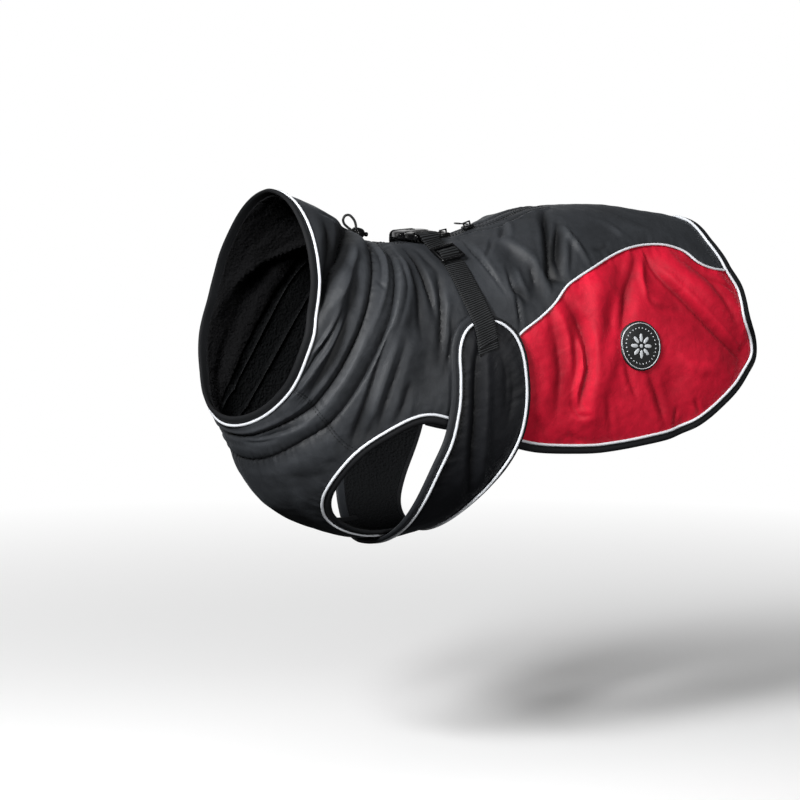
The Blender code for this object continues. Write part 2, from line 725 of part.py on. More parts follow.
def build_buckle():
    """A side-release buckle, fastened over the spine: its socket on the right, its plug on the left."""
    matrix = seat(*BUCKLE_AT, BUCKLE_LIFT, heading=pi)
    height, width, middle = BUCKLE_HEIGHT, BUCKLE_WIDTH, BUCKLE_HEIGHT / 2
    end = BUCKLE_LENGTH / 2
    socket_length = BUCKLE_LENGTH * 0.6
    mouth = socket_length - end
    button_at = mouth - BUCKLE_BUTTON_BACK
    slot = (WEBBING_WIDTH + 1, BUCKLE_SLOT, 2 * height)
    slot_at = end - BUCKLE_BAR - BUCKLE_SLOT / 2
    inside = socket_length - BUCKLE_BAR - BUCKLE_SLOT - BUCKLE_CHEEK
    hollow = (width - 2 * BUCKLE_CHEEK, inside, height - 2 * BUCKLE_SKIN)
    past = 0.01  # so that the hollow opens through the mouth
    adds = [((width, socket_length, height), (0, mouth - socket_length / 2, middle), 1.8)]
    cuts = [
        (hollow, (0, mouth - inside / 2 + past, middle), 0),
        ((width + 2, BUCKLE_WINDOW, BUCKLE_WINDOW_HEIGHT), (0, button_at, middle), 0),
        (slot, (0, -slot_at, middle), 0),
    ]
    solid_from_boxes("buckle_socket", adds, cuts, "black plastic", matrix)

    base_length = end - mouth - SEAM_GAP
    prong = inside + 1  # runs 1 mm into the base, and stops 1 mm short of the hollow's end
    prong_at = mouth - inside / 2 + 1
    adds = [
        ((width - 1, base_length, height - 1), (0, mouth + SEAM_GAP + base_length / 2, middle), 1.5),
        ((TONGUE_WIDTH, prong, PRONG_HEIGHT), (0, prong_at, middle), 0.6),
    ]
    for sign in (-1, 1):
        prong_x = sign * (width / 2 - BUCKLE_CHEEK - 0.7 - PRONG_WIDTH / 2)
        button_x = sign * (width / 2 + 0.8 - BUTTON_WIDTH / 2)
        adds.append(((PRONG_WIDTH, prong, PRONG_HEIGHT), (prong_x, prong_at, middle), 0.6))
        adds.append(((BUTTON_WIDTH, BUTTON_LENGTH, PRONG_HEIGHT + 0.5), (button_x, button_at, middle), 0.9))
    cuts = [(slot, (0, slot_at, middle), 0)]
    solid_from_boxes("buckle_plug", adds, cuts, "black plastic", matrix)


def build_zip():
    """Tape and chain along the spine, and two sliders with hinged pull tabs."""
    left = edge(SPINE[0], SPINE[1])
    left[-1] = tuple(a + (b - a) * 0.8 for a, b in zip(left[-2], left[-1]))
    rows = [spaced((station, (station[0], -station[1])), 2) for station in left]
    panel("back_zip", trimmed(rows), "black zip")
    for name, along in ZIP_SLIDERS.items():
        build_zip_slider(name, along)


def build_zip_slider(name, along):
    """A slider on the chain: a block under an arch, in which the pull's eye hangs."""
    height, arch_low = ZIP_SLIDER_HEIGHT, ZIP_SLIDER_HEIGHT + 2 * PULL_AXIS_HEIGHT
    block = ((ZIP_SLIDER_LENGTH, ZIP_SLIDER_WIDTH, height), (0, 0, height / 2), 0.9)
    arch = ((ARCH_LENGTH, ARCH_WIDTH, ARCH_BAR), (0, 0, arch_low + ARCH_BAR / 2), 0)
    adds = [block, arch]
    post_low, post_top = height / 2, arch_low + 0.2  # the posts run into the block and the arch
    for sign in (-1, 1):
        post = (ARCH_BAR, ARCH_WIDTH, post_top - post_low)
        adds.append((post, (sign * (ARCH_LENGTH - ARCH_BAR) / 2, 0, (post_low + post_top) / 2), 0))
    lift = WALL + ZIP_SLIDER_GAP
    solid_from_boxes(f"zip_slider_{name}", adds, [], "black painted metal", seat(along, 0, lift))
    build_zip_pull(name, along, lift + height + PULL_AXIS_HEIGHT)


def build_zip_pull(name, along, lift):
    """A pull tab whose eye hangs in the slider's arch; its origin is on the hinge axis."""
    tab = ((PULL_LENGTH, PULL_WIDTH, PULL_WALL), ((PULL_EYE_BAR - PULL_LENGTH) / 2, 0, 0), 0.3)
    eye_at = -(PULL_EYE_BAR + PULL_EYE_LENGTH) / 2
    eye = ((PULL_EYE_LENGTH, PULL_EYE_WIDTH, 2 * PULL_WALL), (eye_at, 0, 0), 0)
    matrix = seat(along, 0, lift) @ Matrix.Rotation(radians(PULL_REST[name]), 4, "Y")
    solid_from_boxes(f"zip_pull_{name}", [tab], [eye], "black painted metal", matrix)


def build_cord_lock():
    """A barrel cord lock with a round plunger end, lying on the neck band."""
    turn = Matrix.Rotation(radians(CORD_LOCK_PITCH), 4, "Y")
    bm = bmesh.new()
    rings = []
    for reach, radius in CORD_LOCK_OUTLINE:
        made = bmesh.ops.create_circle(bm, segments=CORD_LOCK_SIDES, radius=CORD_LOCK_RADIUS * radius * MM)
        ring = made["verts"]
        bmesh.ops.rotate(bm, verts=ring, matrix=Matrix.Rotation(pi / 2, 3, "Y"))
        bmesh.ops.translate(bm, verts=ring, vec=(CORD_LOCK_LENGTH * reach * MM, 0, 0))
        rings.append(ring)
    for a, b in zip(rings, rings[1:]):
        edges = [e for e in bm.edges if all(v in a for v in e.verts) or all(v in b for v in e.verts)]
        bmesh.ops.bridge_loops(bm, edges=edges)
    bmesh.ops.holes_fill(bm, edges=[e for e in bm.edges if e.is_boundary])
    mesh_object("cord_lock", bm, "black plastic", Matrix.Translation(CORD_LOCK_AT * MM) @ turn)


def build_drawcord():
    """The loop of elastic cord above the lock."""
    points = [point * MM for point in CORD_LOOP]
    tube("drawcord_loop", points, CORD_RADIUS, "black cord", roundness=1, smooth=True)


def clear_scene():
    for existing in list(bpy.data.objects):
        bpy.data.objects.remove(existing)
    coat = bpy.data.collections.new("dog_coat")
    bpy.context.scene.collection.children.link(coat)


def main():
    clear_scene()
    build_collar()
    build_neck_band()
    build_back()
    build_sides()
    build_chest_bib()
    build_belly_band()
    build_bindings()
    build_patches()
    build_straps()
    build_strap_slider()
    build_buckle()
    build_zip()
    build_cord_lock()
    build_drawcord()


main()
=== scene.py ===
"""Looks of a worn dog coat: cloth, edges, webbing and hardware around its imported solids.

Every piece is laid out on one smooth figure, as in the part's source. A station is (along, around): along
in millimetres from the neck edge to the rump, around in degrees, 0 on the spine, 90 on the left flank and
180 below. Sizes in the tables are millimetres, and meshes are metres.
"""

from __future__ import annotations

import logging
import math
from collections.abc import Callable, Iterable, Sequence
from dataclasses import dataclass, field
from enum import Enum
from typing import Any, NamedTuple

import bpy
import numpy as np
from mathutils import Matrix, Vector


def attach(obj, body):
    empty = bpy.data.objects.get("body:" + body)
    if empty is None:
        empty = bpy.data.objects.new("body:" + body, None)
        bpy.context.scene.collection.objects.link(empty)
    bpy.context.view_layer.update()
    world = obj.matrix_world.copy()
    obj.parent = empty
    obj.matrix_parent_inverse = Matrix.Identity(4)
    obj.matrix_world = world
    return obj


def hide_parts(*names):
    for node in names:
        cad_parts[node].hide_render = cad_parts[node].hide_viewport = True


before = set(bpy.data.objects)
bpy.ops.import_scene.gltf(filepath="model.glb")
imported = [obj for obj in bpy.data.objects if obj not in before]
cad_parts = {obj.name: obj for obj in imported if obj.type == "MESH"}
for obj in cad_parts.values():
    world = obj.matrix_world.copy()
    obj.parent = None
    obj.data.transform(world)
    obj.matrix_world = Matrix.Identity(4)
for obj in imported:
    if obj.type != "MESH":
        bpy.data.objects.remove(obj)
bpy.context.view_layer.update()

log = logging.getLogger("dog_coat")
Array = np.ndarray
Station = tuple[float, float]
Piece = bpy.types.Object
NodeTree = bpy.types.NodeTree
Node = bpy.types.Node

MM = 0.001
WAVE = 0.314  # scale at which a wave texture repeats once a unit
MM_PER_DEGREE = 1.55  # length of one degree around the figure, used to space stations
FINE = 10  # cells of fine cloth to each cell of a panel's solid
COARSE = 3  # the same for a line that seams only follow
# The cloth's colour reads this attribute for painted shade in fold hollows and painted light on their ridges.
FOLD_ATTRIBUTE = "fold"  # how far a fold raises the cloth, in millimetres

WALL = 2.5
SEAM_LAP = 0.1  # panels lap this far over their seam lines, where the solids stand apart
LINING_WALL = 1.0
LINING_GAP = 0.5
BAND_LIFT = 5.4
FLOOR = -0.49  # metres, the ground under the coat as it is worn


class Body(Enum):
    """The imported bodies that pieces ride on."""

    COAT = "coat"
    PULL_FRONT = "zip_pull_front"
    PULL_REAR = "zip_pull_rear"


class Side(Enum):
    """A flank of the coat, with the sign that its stations take."""

    LEFT = 1
    RIGHT = -1

    @property
    def word(self) -> str:
        """The side's name, as pieces end in it."""
        return self.name.lower()

    def of(self, stations: Array) -> Array:
        """Left-flank stations moved to this flank."""
        return stations * np.array([1.0, float(self.value)])


# ---------------------------------------------------------------- tables of the cut


class Section(NamedTuple):
    """A girth of the figure. turn is the neck's yaw in degrees."""

    along: float
    top_x: float
    top_z: float
    bottom_x: float
    bottom_z: float
    half_width: float
    drop: float
    square: float
    egg: float
    turn: float
    sweep: float


SECTIONS = (
    Section(0, -127, 50, -168, -146, 78, 0.02, 0.00, 0.05, 10, 8),
    Section(48, -84, 33, -166, -152, 79, 0.02, 0.00, 0.05, 8, 5),
    Section(80, -56, 14, -164, -158, 80, 0.02, 0.02, 0.04, 6, 2),
    Section(102, -38, 2, -159, -167, 80, 0.02, 0.04, 0.00, 5, 0),
    Section(122, -20, 0, -152, -187, 83, 0.02, 0.04, 0.00, 4, 0),
    Section(155, 12, 0, -124, -229, 88, 0.02, 0.04, 0.00, 2, 0),
    Section(190, 46, 3, -57, -257, 92, 0.03, 0.04, 0.00, 0, 0),
    Section(222, 76, 11, 10, -250, 94, 0.04, 0.05, 0.00, 0, 0),
    Section(252, 104, 21, 62, -238, 94, 0.05, 0.05, 0.00, 0, 0),
    Section(285, 136, 27, 118, -232, 92, 0.06, 0.06, 0.00, 0, 0),
    Section(320, 170, 28, 165, -236, 89, 0.08, 0.06, 0.00, 0, 0),
    Section(365, 215, 26, 218, -238, 86, 0.10, 0.06, 0.00, 0, 0),
    Section(410, 260, 19, 268, -232, 82, 0.10, 0.05, 0.00, 0, 0),
    Section(450, 299, 10, 308, -215, 75, 0.10, 0.04, 0.00, 0, 0),
    Section(490, 332, -10, 338, -190, 64, 0.10, 0.03, 0.00, 0, 0),
    Section(520, 349, -38, 355, -165, 50, 0.10, 0.03, 0.00, 0, 0),
)


class Fold(NamedTuple):
    """A large fold, a ridge with a positive depth and a trough with a negative one."""

    along: float
    around: float
    to_along: float
    to_around: float
    depth: float
    half_width: float


FOLDS = (
    Fold(62, 20, 14, 88, -5.0, 12),
    Fold(64, 50, 84, 112, -3.5, 10),
    Fold(50, 60, 60, 122, 3.0, 12),
    Fold(139, 18, 152, 62, -3.5, 11),
    Fold(128, 34, 152, 96, 3.0, 12),
    Fold(141, 72, 151, 108, -3.5, 11),
    Fold(164, 42, 176, 84, -3.0, 12),
    Fold(214, 30, 230, 50, 3.0, 11),
    Fold(232, 36, 252, 56, -4.0, 11),
    Fold(280, 20, 268, 46, -4.5, 10),
    Fold(341, 52, 326, 72, -4.5, 11),
    Fold(308, 58, 304, 106, 4.5, 13),
    Fold(292, 74, 291, 104, -4.0, 10),
    Fold(372, 50, 470, 90, -4.5, 14),
    Fold(392, 46, 478, 72, 3.5, 12),
    Fold(384, 98, 396, 112, -3.0, 11),
    Fold(150, 150, 168, 170, -3.0, 12),
)
FAR_FOLD_SHIFT = 8.0
FAR_FOLD_SCALE = 0.85


class Crease(NamedTuple):
    """A crease on top of the large folds, fading at both ends; lean steepens its forward side."""

    depth: float
    half_width: float
    path: tuple[Station, ...]
    lean: float = 0.0


CREASES = (
    # collar: the valley under the stand, and the folds that run down into the neck band
    Crease(-5.8, 3.8, ((76, 6), (71, 16), (59, 36.4), (50, 50.3), (37, 62.3), (26, 70.6), (22, 80)), 0.5),
    Crease(1.9, 6.0, ((68, 32.7), (66, 46.4), (62, 57.8), (52, 70.8), (40, 79))),
    Crease(-2.7, 8.5, ((36, 30), (35, 44), (29, 57), (20, 70))),
    Crease(-1.6, 4.0, ((58, 80), (55, 89), (47, 98.5), (40, 108), (38, 118))),
    Crease(1.4, 4.0, ((48, 90), (38, 99), (28, 106))),
    Crease(1.6, 6.0, ((70, 76), (66, 92), (60, 106))),
    Crease(-0.9, 4.0, ((58, 10), (50, 16), (34, 22))),
    # neck band: gathers on the cord
    Crease(-1.1, 3.0, ((92, 8), (98, 24), (101, 38), (102, 50))),
    Crease(0.9, 4.0, ((98, 12), (106, 34), (110, 52), (114, 74))),
    Crease(-0.8, 1.8, ((96, 49), (104, 50), (110, 52))),
    Crease(0.8, 5.0, ((112, 76), (116, 96), (116, 112))),
    Crease(-1.3, 3.2, ((96, 163), (100, 152), (106, 140), (113, 128)), 0.3),
    Crease(-0.7, 2.4, ((98, 172), (104, 158), (108, 146))),
    # shoulder: folds that fan out behind the neck band
    Crease(1.5, 4.5, ((118, 30), (125, 52), (131, 74), (133, 96), (132, 112)), 0.4),
    Crease(-1.2, 3.4, ((120, 14), (125, 34), (133, 48), (137, 66))),
    Crease(-1.3, 3.2, ((126, 18), (134, 34), (144, 46), (153, 58), (162, 68)), 0.2),
    Crease(-2.0, 3.0, ((137, 14), (144, 30), (152, 41), (160, 50), (168, 58)), 0.4),
    Crease(1.2, 3.4, ((144, 24), (152, 36), (162, 48), (170, 58))),
    Crease(-1.0, 2.6, ((146, 14), (153, 26), (161, 34))),
    Crease(-2.0, 3.6, ((132, 72), (136, 86), (142, 98), (150, 115)), 0.3),
    Crease(1.1, 4.0, ((142, 72), (147, 90), (154, 106))),
    Crease(-1.7, 3.4, ((150, 72), (154, 86), (157, 97), (162, 107))),
    Crease(-1.2, 2.6, ((166, 86), (168, 94), (168, 101))),
    Crease(-1.0, 2.4, ((154, 103), (157, 108), (159, 113))),
    Crease(-2.0, 3.2, ((162, 36), (169, 50), (175, 62), (181, 76))),
    Crease(1.0, 4.0, ((170, 44), (177, 58), (184, 70))),
    Crease(-1.6, 3.2, ((178, 56), (184, 66), (187, 80))),
    # bib
    Crease(-0.8, 5.0, ((138, 150), (145, 140), (152, 130))),
    Crease(-0.7, 2.2, ((145, 131), (148, 128), (151, 125))),
    Crease(0.9, 6.0, ((148, 152), (158, 160), (170, 168))),
    # back, behind the strap
    Crease(-1.0, 1.1, ((196, 9), (199, 23), (206, 34), (214, 43), (222, 51))),
    Crease(1.0, 3.6, ((202, 18), (210, 34), (219, 44))),
    Crease(-1.2, 2.2, ((221, 20), (216, 25), (209, 31)), 0.2),
    Crease(1.6, 5.0, ((230, 22), (244, 33), (256, 44), (264, 56))),
    Crease(-1.8, 2.6, ((226, 40), (230, 50), (238, 55), (244, 59)), 0.3),
    Crease(1.4, 3.4, ((236, 42), (240, 50), (246, 56))),
    Crease(-1.2, 3.0, ((249, 42), (251, 48), (253, 54))),
    Crease(-1.3, 1.8, ((232, 52), (236, 60), (239, 68))),
    Crease(-1.4, 2.6, ((240, 13), (235, 17), (229, 22))),
    Crease(1.3, 3.6, ((246, 12), (244, 18), (238, 24))),
    Crease(-3.3, 2.3, ((288, 9), (278, 20), (271, 34), (268, 46), (268, 56)), 0.2),
    Crease(-3.4, 2.2, ((289, 23), (281, 33), (276, 43), (276, 51)), 0.25),
    Crease(2.0, 4.0, ((290, 26), (294, 33), (299, 40), (304, 46))),
    Crease(-1.9, 4.5, ((262, 47), (270, 52), (278, 55))),
    Crease(-0.9, 2.6, ((296, 32), (290, 42), (284, 52))),
    Crease(-0.8, 2.4, ((314, 40), (322, 40), (330, 38))),
    Crease(0.9, 4.5, ((336, 24), (344, 28), (353, 33))),
    Crease(-0.7, 5.0, ((352, 14), (372, 22), (392, 27))),
    # red side panels
    Crease(1.6, 9.0, ((304, 54), (330, 62), (325, 78), (314, 96))),
    Crease(-2.0, 5.0, ((358, 41), (352, 50), (341, 61), (333, 74)), 0.2),
    Crease(1.4, 4.0, ((366, 42), (360, 52), (362, 60))),
    Crease(-1.5, 1.9, ((368, 40), (379, 51), (409, 64), (442, 79), (480, 94)), 0.4),
    Crease(1.1, 3.2, ((384, 49), (412, 60), (444, 74), (470, 85))),
    Crease(-2.0, 7.5, ((404, 42), (428, 50), (450, 62), (468, 75))),
    Crease(-1.0, 2.2, ((363, 60), (372, 64), (384, 65), (398, 66))),
    Crease(-0.9, 1.6, ((433, 51), (452, 54), (476, 58))),
    Crease(-1.1, 3.0, ((336, 86), (341, 93), (348, 100))),
    Crease(-1.7, 4.0, ((358, 88), (369, 99), (379, 112))),
    Crease(-0.8, 3.0, ((318, 100), (321, 106), (325, 114))),
    Crease(-1.9, 4.0, ((276, 62), (290, 71), (298, 81), (299, 91), (294, 106))),
    Crease(2.0, 2.6, ((290, 78), (294, 88), (291, 99), (293, 107)), 0.5),
    Crease(-1.0, 1.8, ((289, 104), (295, 109), (304, 108))),
    Crease(-1.8, 5.5, ((264, 69), (272, 80), (276, 92), (276, 108))),
    Crease(1.0, 4.0, ((268, 64), (280, 76), (286, 92))),
    Crease(-0.9, 3.0, ((256, 105), (264, 110), (272, 116))),
    Crease(-1.0, 2.0, ((392, 106), (390, 110), (389, 114))),
    Crease(-1.0, 2.0, ((409, 103), (413, 107), (416, 111))),
    Crease(-0.8, 2.4, ((288, 117), (296, 120), (304, 121))),
    Crease(0.9, 5.0, ((392, 84), (414, 90), (436, 92))),
)
BAND_CREASES = (
    # belly band: the fold that runs down inside each wing
    Crease(-2.0, 2.6, ((204, 66), (205, 77), (213, 97), (219, 115), (229, 140)), 0.5),
    Crease(1.0, 5.0, ((210, 72), (218, 92), (225, 112), (231, 132))),
    Crease(-0.8, 5.0, ((232, 82), (238, 94), (238, 106))),
    Crease(-0.7, 4.0, ((224, 78), (230, 86), (234, 98))),
)


class Run(NamedTuple):
    """A stretch of a panel's edge, crossed by a number of cells of the solid."""

    cells: int
    stations: tuple[Station, ...]


ZIP_HALF_WIDTH = 4.0
ZIP_GAP = 0.75  # degrees from the zip's middle to the cloth that hides its tape
ZIP_END = 272.0
SLIDER_GAP = 0.3  # from the cloth's outer face to a zip slider
ZIP_LINE = Run(
    24,
    (
        (113, 0), (150, 0), (190, 0), (212, 0.3), (222, 2.2), (230, 4.6), (240, 6.2), (252, 5.6), (263, 3.4),
        (275, 1.0), (290, 0), (330, 0), (390, 0), (443, 0),
    ),
)
NECK_EDGE_BACK = (
    Run(11, ((3, 0), (5, 12), (6, 36), (7, 50), (8, 64), (11, 76), (13, 96), (16, 111), (32, 128))),
)
NECK_EDGE_FRONT = (Run(6, ((32, 128), (39, 146), (40, 165), (40, 180))),)
BAND_FRONT_BACK = (Run(11, ((96, 0), (91, 28), (93, 51), (100, 71), (105, 87), (108, 102), (108, 120))),)
BAND_FRONT_CHEST = (Run(6, ((108, 120), (99, 137), (90, 157), (88, 180))),)
BAND_REAR_BACK = (Run(11, ((113, 0), (115, 30), (121, 50), (127, 66), (130, 84), (131, 104), (129, 119))),)
BAND_REAR_CHEST = (Run(6, ((129, 119), (123, 134), (120, 150), (118, 180))),)
SHOULDER_SEAM = Run(2, ((129, 119), (155, 118)))
ARMHOLE_BACK = Run(4, ((155, 118), (161, 110), (168, 102.5), (176, 96.5), (188, 93.5), (204, 98)))
ARMHOLE_CHEST = Run(7, ((155, 118), (154, 129), (156, 140), (162, 150), (175, 160), (204, 163)))
SIDE_SEAM = Run(
    18,
    (
        (204, 98), (220, 83), (236, 71.5), (252, 68), (267, 63.3), (273, 60), (278.5, 56.6), (287, 54.3),
        (311, 48.2), (341, 41), (370, 36.9), (396, 36.4), (415, 38.8), (425, 44), (443, 46.8), (462, 46),
    ),
)
SIDE_FRONT = (Run(7, ((204, 98), (207, 104))),)
SIDE_HEM = Run(
    18,
    (
        (207, 104), (229, 109), (253, 115.5), (265, 120), (286, 123.3), (299, 123.1), (328, 120.7),
        (362, 117), (396, 114.7), (422, 110.3), (448, 104.9), (474, 98.9), (489, 92.5),
    ),
)
SIDE_REAR = Run(
    7,
    (
        (462, 46), (468, 50.3), (474, 54.6), (475.5, 59), (474.5, 63.5), (472, 67.7), (473, 71.3),
        (478, 75.7), (486, 80.2), (490, 84.8), (491, 89), (489, 92.5),
    ),
)
BACK_REAR = Run(
    11, ((443, 0), (444, 4.5), (447, 11), (447.5, 20.5), (449, 28.5), (453, 33.7), (458, 39.3), (462, 46))
)
WING_TOP_FRONT = (198, 60.8)
WING_TOP_REAR = (215, 62.3)
BELLY_FRONT = Run(
    14,
    (
        WING_TOP_FRONT, (193.5, 61.9), (191, 63.6), (190, 66), (190, 69.7), (192, 74.4), (195, 79),
        (198, 84.7), (200.5, 90.4), (202, 96), (203.5, 106), (202, 120), (202, 150), (200, 180),
    ),
)
BELLY_REAR = Run(
    14,
    (
        WING_TOP_REAR, (220, 64), (226, 66.7), (231, 69.6), (235, 72.9), (239, 76.9), (242, 81.2),
        (245, 87), (248, 94), (250, 103), (250, 111), (248, 118.5), (243, 127), (234, 139), (227, 152),
        (224, 166), (224, 180),
    ),
)
PLACKET_LINES = ((-11.6, -1.0), (-8.4, 1.0), (8.4, 1.0), (11.6, -1.0))  # offset and depth, in millimetres
BELLY_TOP = Run(5, (WING_TOP_FRONT, (206.5, 60.3), WING_TOP_REAR))


# ---------------------------------------------------------------- lines of stations


def smooth_curve(knots: Array, steps: int) -> Array:
    """The smooth curve through knots, with a number of steps from each knot to the next.

    Args:
        knots: The points that it passes through, one row each.
        steps: How many steps lie between two knots.

    Returns:
        The curve's points, one row each.
    """
    t = np.arange((len(knots) - 1) * steps + 1) / steps
    i = np.minimum(t.astype(int), len(knots) - 2)
    s = (t - i)[:, None]
    a, b, c, d = (knots[np.clip(i + k, 0, len(knots) - 1)] for k in (-1, 0, 1, 2))
    return 0.5 * (2 * b + (c - a) * s + (2 * a - 5 * b + 4 * c - d) * s**2 + (3 * b - a - 3 * c + d) * s**3)


def lengths_along(points: Array) -> Array:
    """The length of a line of points from its start to each of them."""
    return np.r_[0, np.cumsum(np.linalg.norm(np.diff(points, axis=0), axis=1))]


def read_at(places: Array, lengths: Array, rows: Array) -> Array:
    """Rows read at places along a line, where lengths says how far along it each row is."""
    return np.column_stack([np.interp(places, lengths, column) for column in rows.T])


def spaced(points: Sequence[Sequence[float]], cells: int) -> Array:
    """Stations evenly spaced along the smooth curve through points.

    Args:
        points: The stations that the curve passes through, with any further columns.
        cells: How many equal steps to take.

    Returns:
        cells + 1 rows of stations.
    """
    curve = smooth_curve(np.array(points, float), 24)
    gaps = np.diff(curve[:, :2], axis=0) * (1.0, MM_PER_DEGREE)
    lengths = np.r_[0, np.cumsum(np.hypot(*gaps.T))]
    return read_at(np.linspace(0, lengths[-1], cells + 1), lengths, curve)


def spaced_in_space(points: Array, cells: int) -> Array:
    """Points evenly spaced along the smooth curve through points in space."""
    curve = smooth_curve(points, 20)
    lengths = lengths_along(curve)
    return read_at(np.linspace(0, lengths[-1], cells + 1), lengths, curve)


def edge(*runs: Run, fine: int = FINE) -> Array:
    """The stations of several runs joined end to end, with fine steps to each cell of the solid."""
    parts = [spaced(run.stations, run.cells * fine) for run in runs]
    return np.vstack([parts[0], *(part[1:] for part in parts[1:])])


def softened(line: Array, cells: float = 1.0) -> Array:
    """A line of stations with its corners rounded over a number of the solid's cells, and its ends kept.

    Args:
        line: The stations.
        cells: How many of the solid's cells the rounding reaches.

    Returns:
        As many stations as before.
    """
    reach = round(cells * FINE)
    weights = np.exp(-np.linspace(-2, 2, 2 * reach + 1) ** 2)
    before, after = 2 * line[0] - line[reach:0:-1], 2 * line[-1] - line[-2 : -reach - 2 : -1]
    padded = np.vstack([before, line, after])
    return np.column_stack([np.convolve(column, weights / weights.sum(), "valid") for column in padded.T])


def across_spine(stations: Array) -> Array:
    """A left-hand edge that starts on the spine, run on over the spine to the right flank."""
    return np.vstack([Side.RIGHT.of(stations)[::-1], stations[1:]])


def across_belly(stations: Array) -> Array:
    """A left-hand edge that ends under the belly, run on round to the right flank."""
    return np.vstack([stations, mirrored_below(stations[-2::-1])])


def patch_between(front: Array, rear: Array, upper: Array, lower: Array) -> Array:
    """Stations of a panel inside its four edges: rows from front to rear, each from upper to lower.

    Args:
        front: The first row.
        rear: The last row.
        upper: Where each row starts.
        lower: Where each row ends.

    Returns:
        The stations, rows by columns.
    """
    s = np.linspace(0, 1, len(upper))[:, None, None]
    t = np.linspace(0, 1, len(front))[None, :, None]
    sides = (1 - t) * upper[:, None] + t * lower[:, None] + (1 - s) * front[None] + s * rear[None]
    ends = (1 - s) * (1 - t) * upper[0] + s * (1 - t) * upper[-1] + (1 - s) * t * lower[0] + s * t * lower[-1]
    return sides - ends


def pulled_in(stations: Array, towards: Array, distance: float) -> Array:
    """Stations moved a distance in millimetres towards others."""
    gap = np.hypot(*((towards - stations) * (1, MM_PER_DEGREE)).T)[:, None]
    return stations + (towards - stations) * distance / gap


def trimmed(rows: Array, gap: float = -SEAM_LAP) -> Array:
    """A panel's stations with its outline pulled in by a gap in millimetres.

    Args:
        rows: The stations, rows by columns.
        gap: How far its outline moves inwards.

    Returns:
        The stations with that outline.
    """
    rows = rows.copy()
    for lines in (rows.swapaxes(0, 1), rows):
        lines[0] = pulled_in(lines[0], lines[1], gap)
        lines[-1] = pulled_in(lines[-1], lines[-2], gap)
    return rows


def mirrored_below(stations: Array) -> Array:
    """Left-hand stations moved to the right flank, counted on past the belly."""
    return stations * (1, -1) + (0, 360)


def unit(vectors: Array) -> Array:
    """Vectors scaled to length one."""
    return vectors / np.linalg.norm(vectors, axis=-1, keepdims=True)


def rims(across: Array, up: Array, count: int) -> Array:
    """Unit circles of count points, one in the plane of each pair of axes."""
    angles = np.arange(count) * 2 * math.pi / count
    return across[:, None] * np.cos(angles)[None, :, None] + up[:, None] * np.sin(angles)[None, :, None]


def frames_of(x: Array, y: Array, z: Array, origin: Array) -> Array:
    """A 4 by 4 matrix for each row of three axes and an origin.

    Args:
        x: The first axis of each row, and so on.
        y: The second axis.
        z: The third axis.
        origin: The origin.

    Returns:
        The matrices.
    """
    frames = np.tile(np.eye(4), (len(origin), 1, 1))
    frames[:, :3] = np.stack([x, y, z, origin], -1)
    return frames


def beside(stations: Array, offset: float) -> Array:
    """A line of stations moved sideways by an offset in millimetres, to its left.

    Args:
        stations: The line.
        offset: How far it moves.

    Returns:
        The moved line.
    """
    flat = stations[:, :2] * (1, MM_PER_DEGREE)
    ahead = unit(np.gradient(flat, axis=0))
    return (flat + np.column_stack([-ahead[:, 1], ahead[:, 0]]) * offset) / (1, MM_PER_DEGREE)


def off_line(points: Array, line: Array) -> tuple[Array, Array, Array]:
    """How points lie to a line of stations.

    Args:
        points: Stations, in any shape that ends in 2.
        line: The line's stations.

    Returns:
        The distance from the line, the place along it and the side, 1 to its left, all in millimetres.
    """
    scale = np.array([1.0, MM_PER_DEGREE])
    flat = points.reshape(-1, 2) * scale
    knots = line[:, :2] * scale
    best, place, side = (np.full(len(flat), v) for v in (np.inf, 0.0, 1.0))
    done = 0.0
    for a, b in zip(knots, knots[1:]):
        run = b - a
        length = math.hypot(*run)
        if length < 1e-9:
            continue
        rel = flat - a
        t = np.clip(rel @ run / length**2, 0, 1)
        gap = np.hypot(*(rel - t[:, None] * run).T)
        near = gap < best
        best[near] = gap[near]
        place[near] = done + t[near] * length
        side[near] = np.sign(run[0] * rel[near, 1] - run[1] * rel[near, 0])
        done += length
    shape = points.shape[:-1]
    return best.reshape(shape), place.reshape(shape), side.reshape(shape)


# ---------------------------------------------------------------- the figure and its cloth


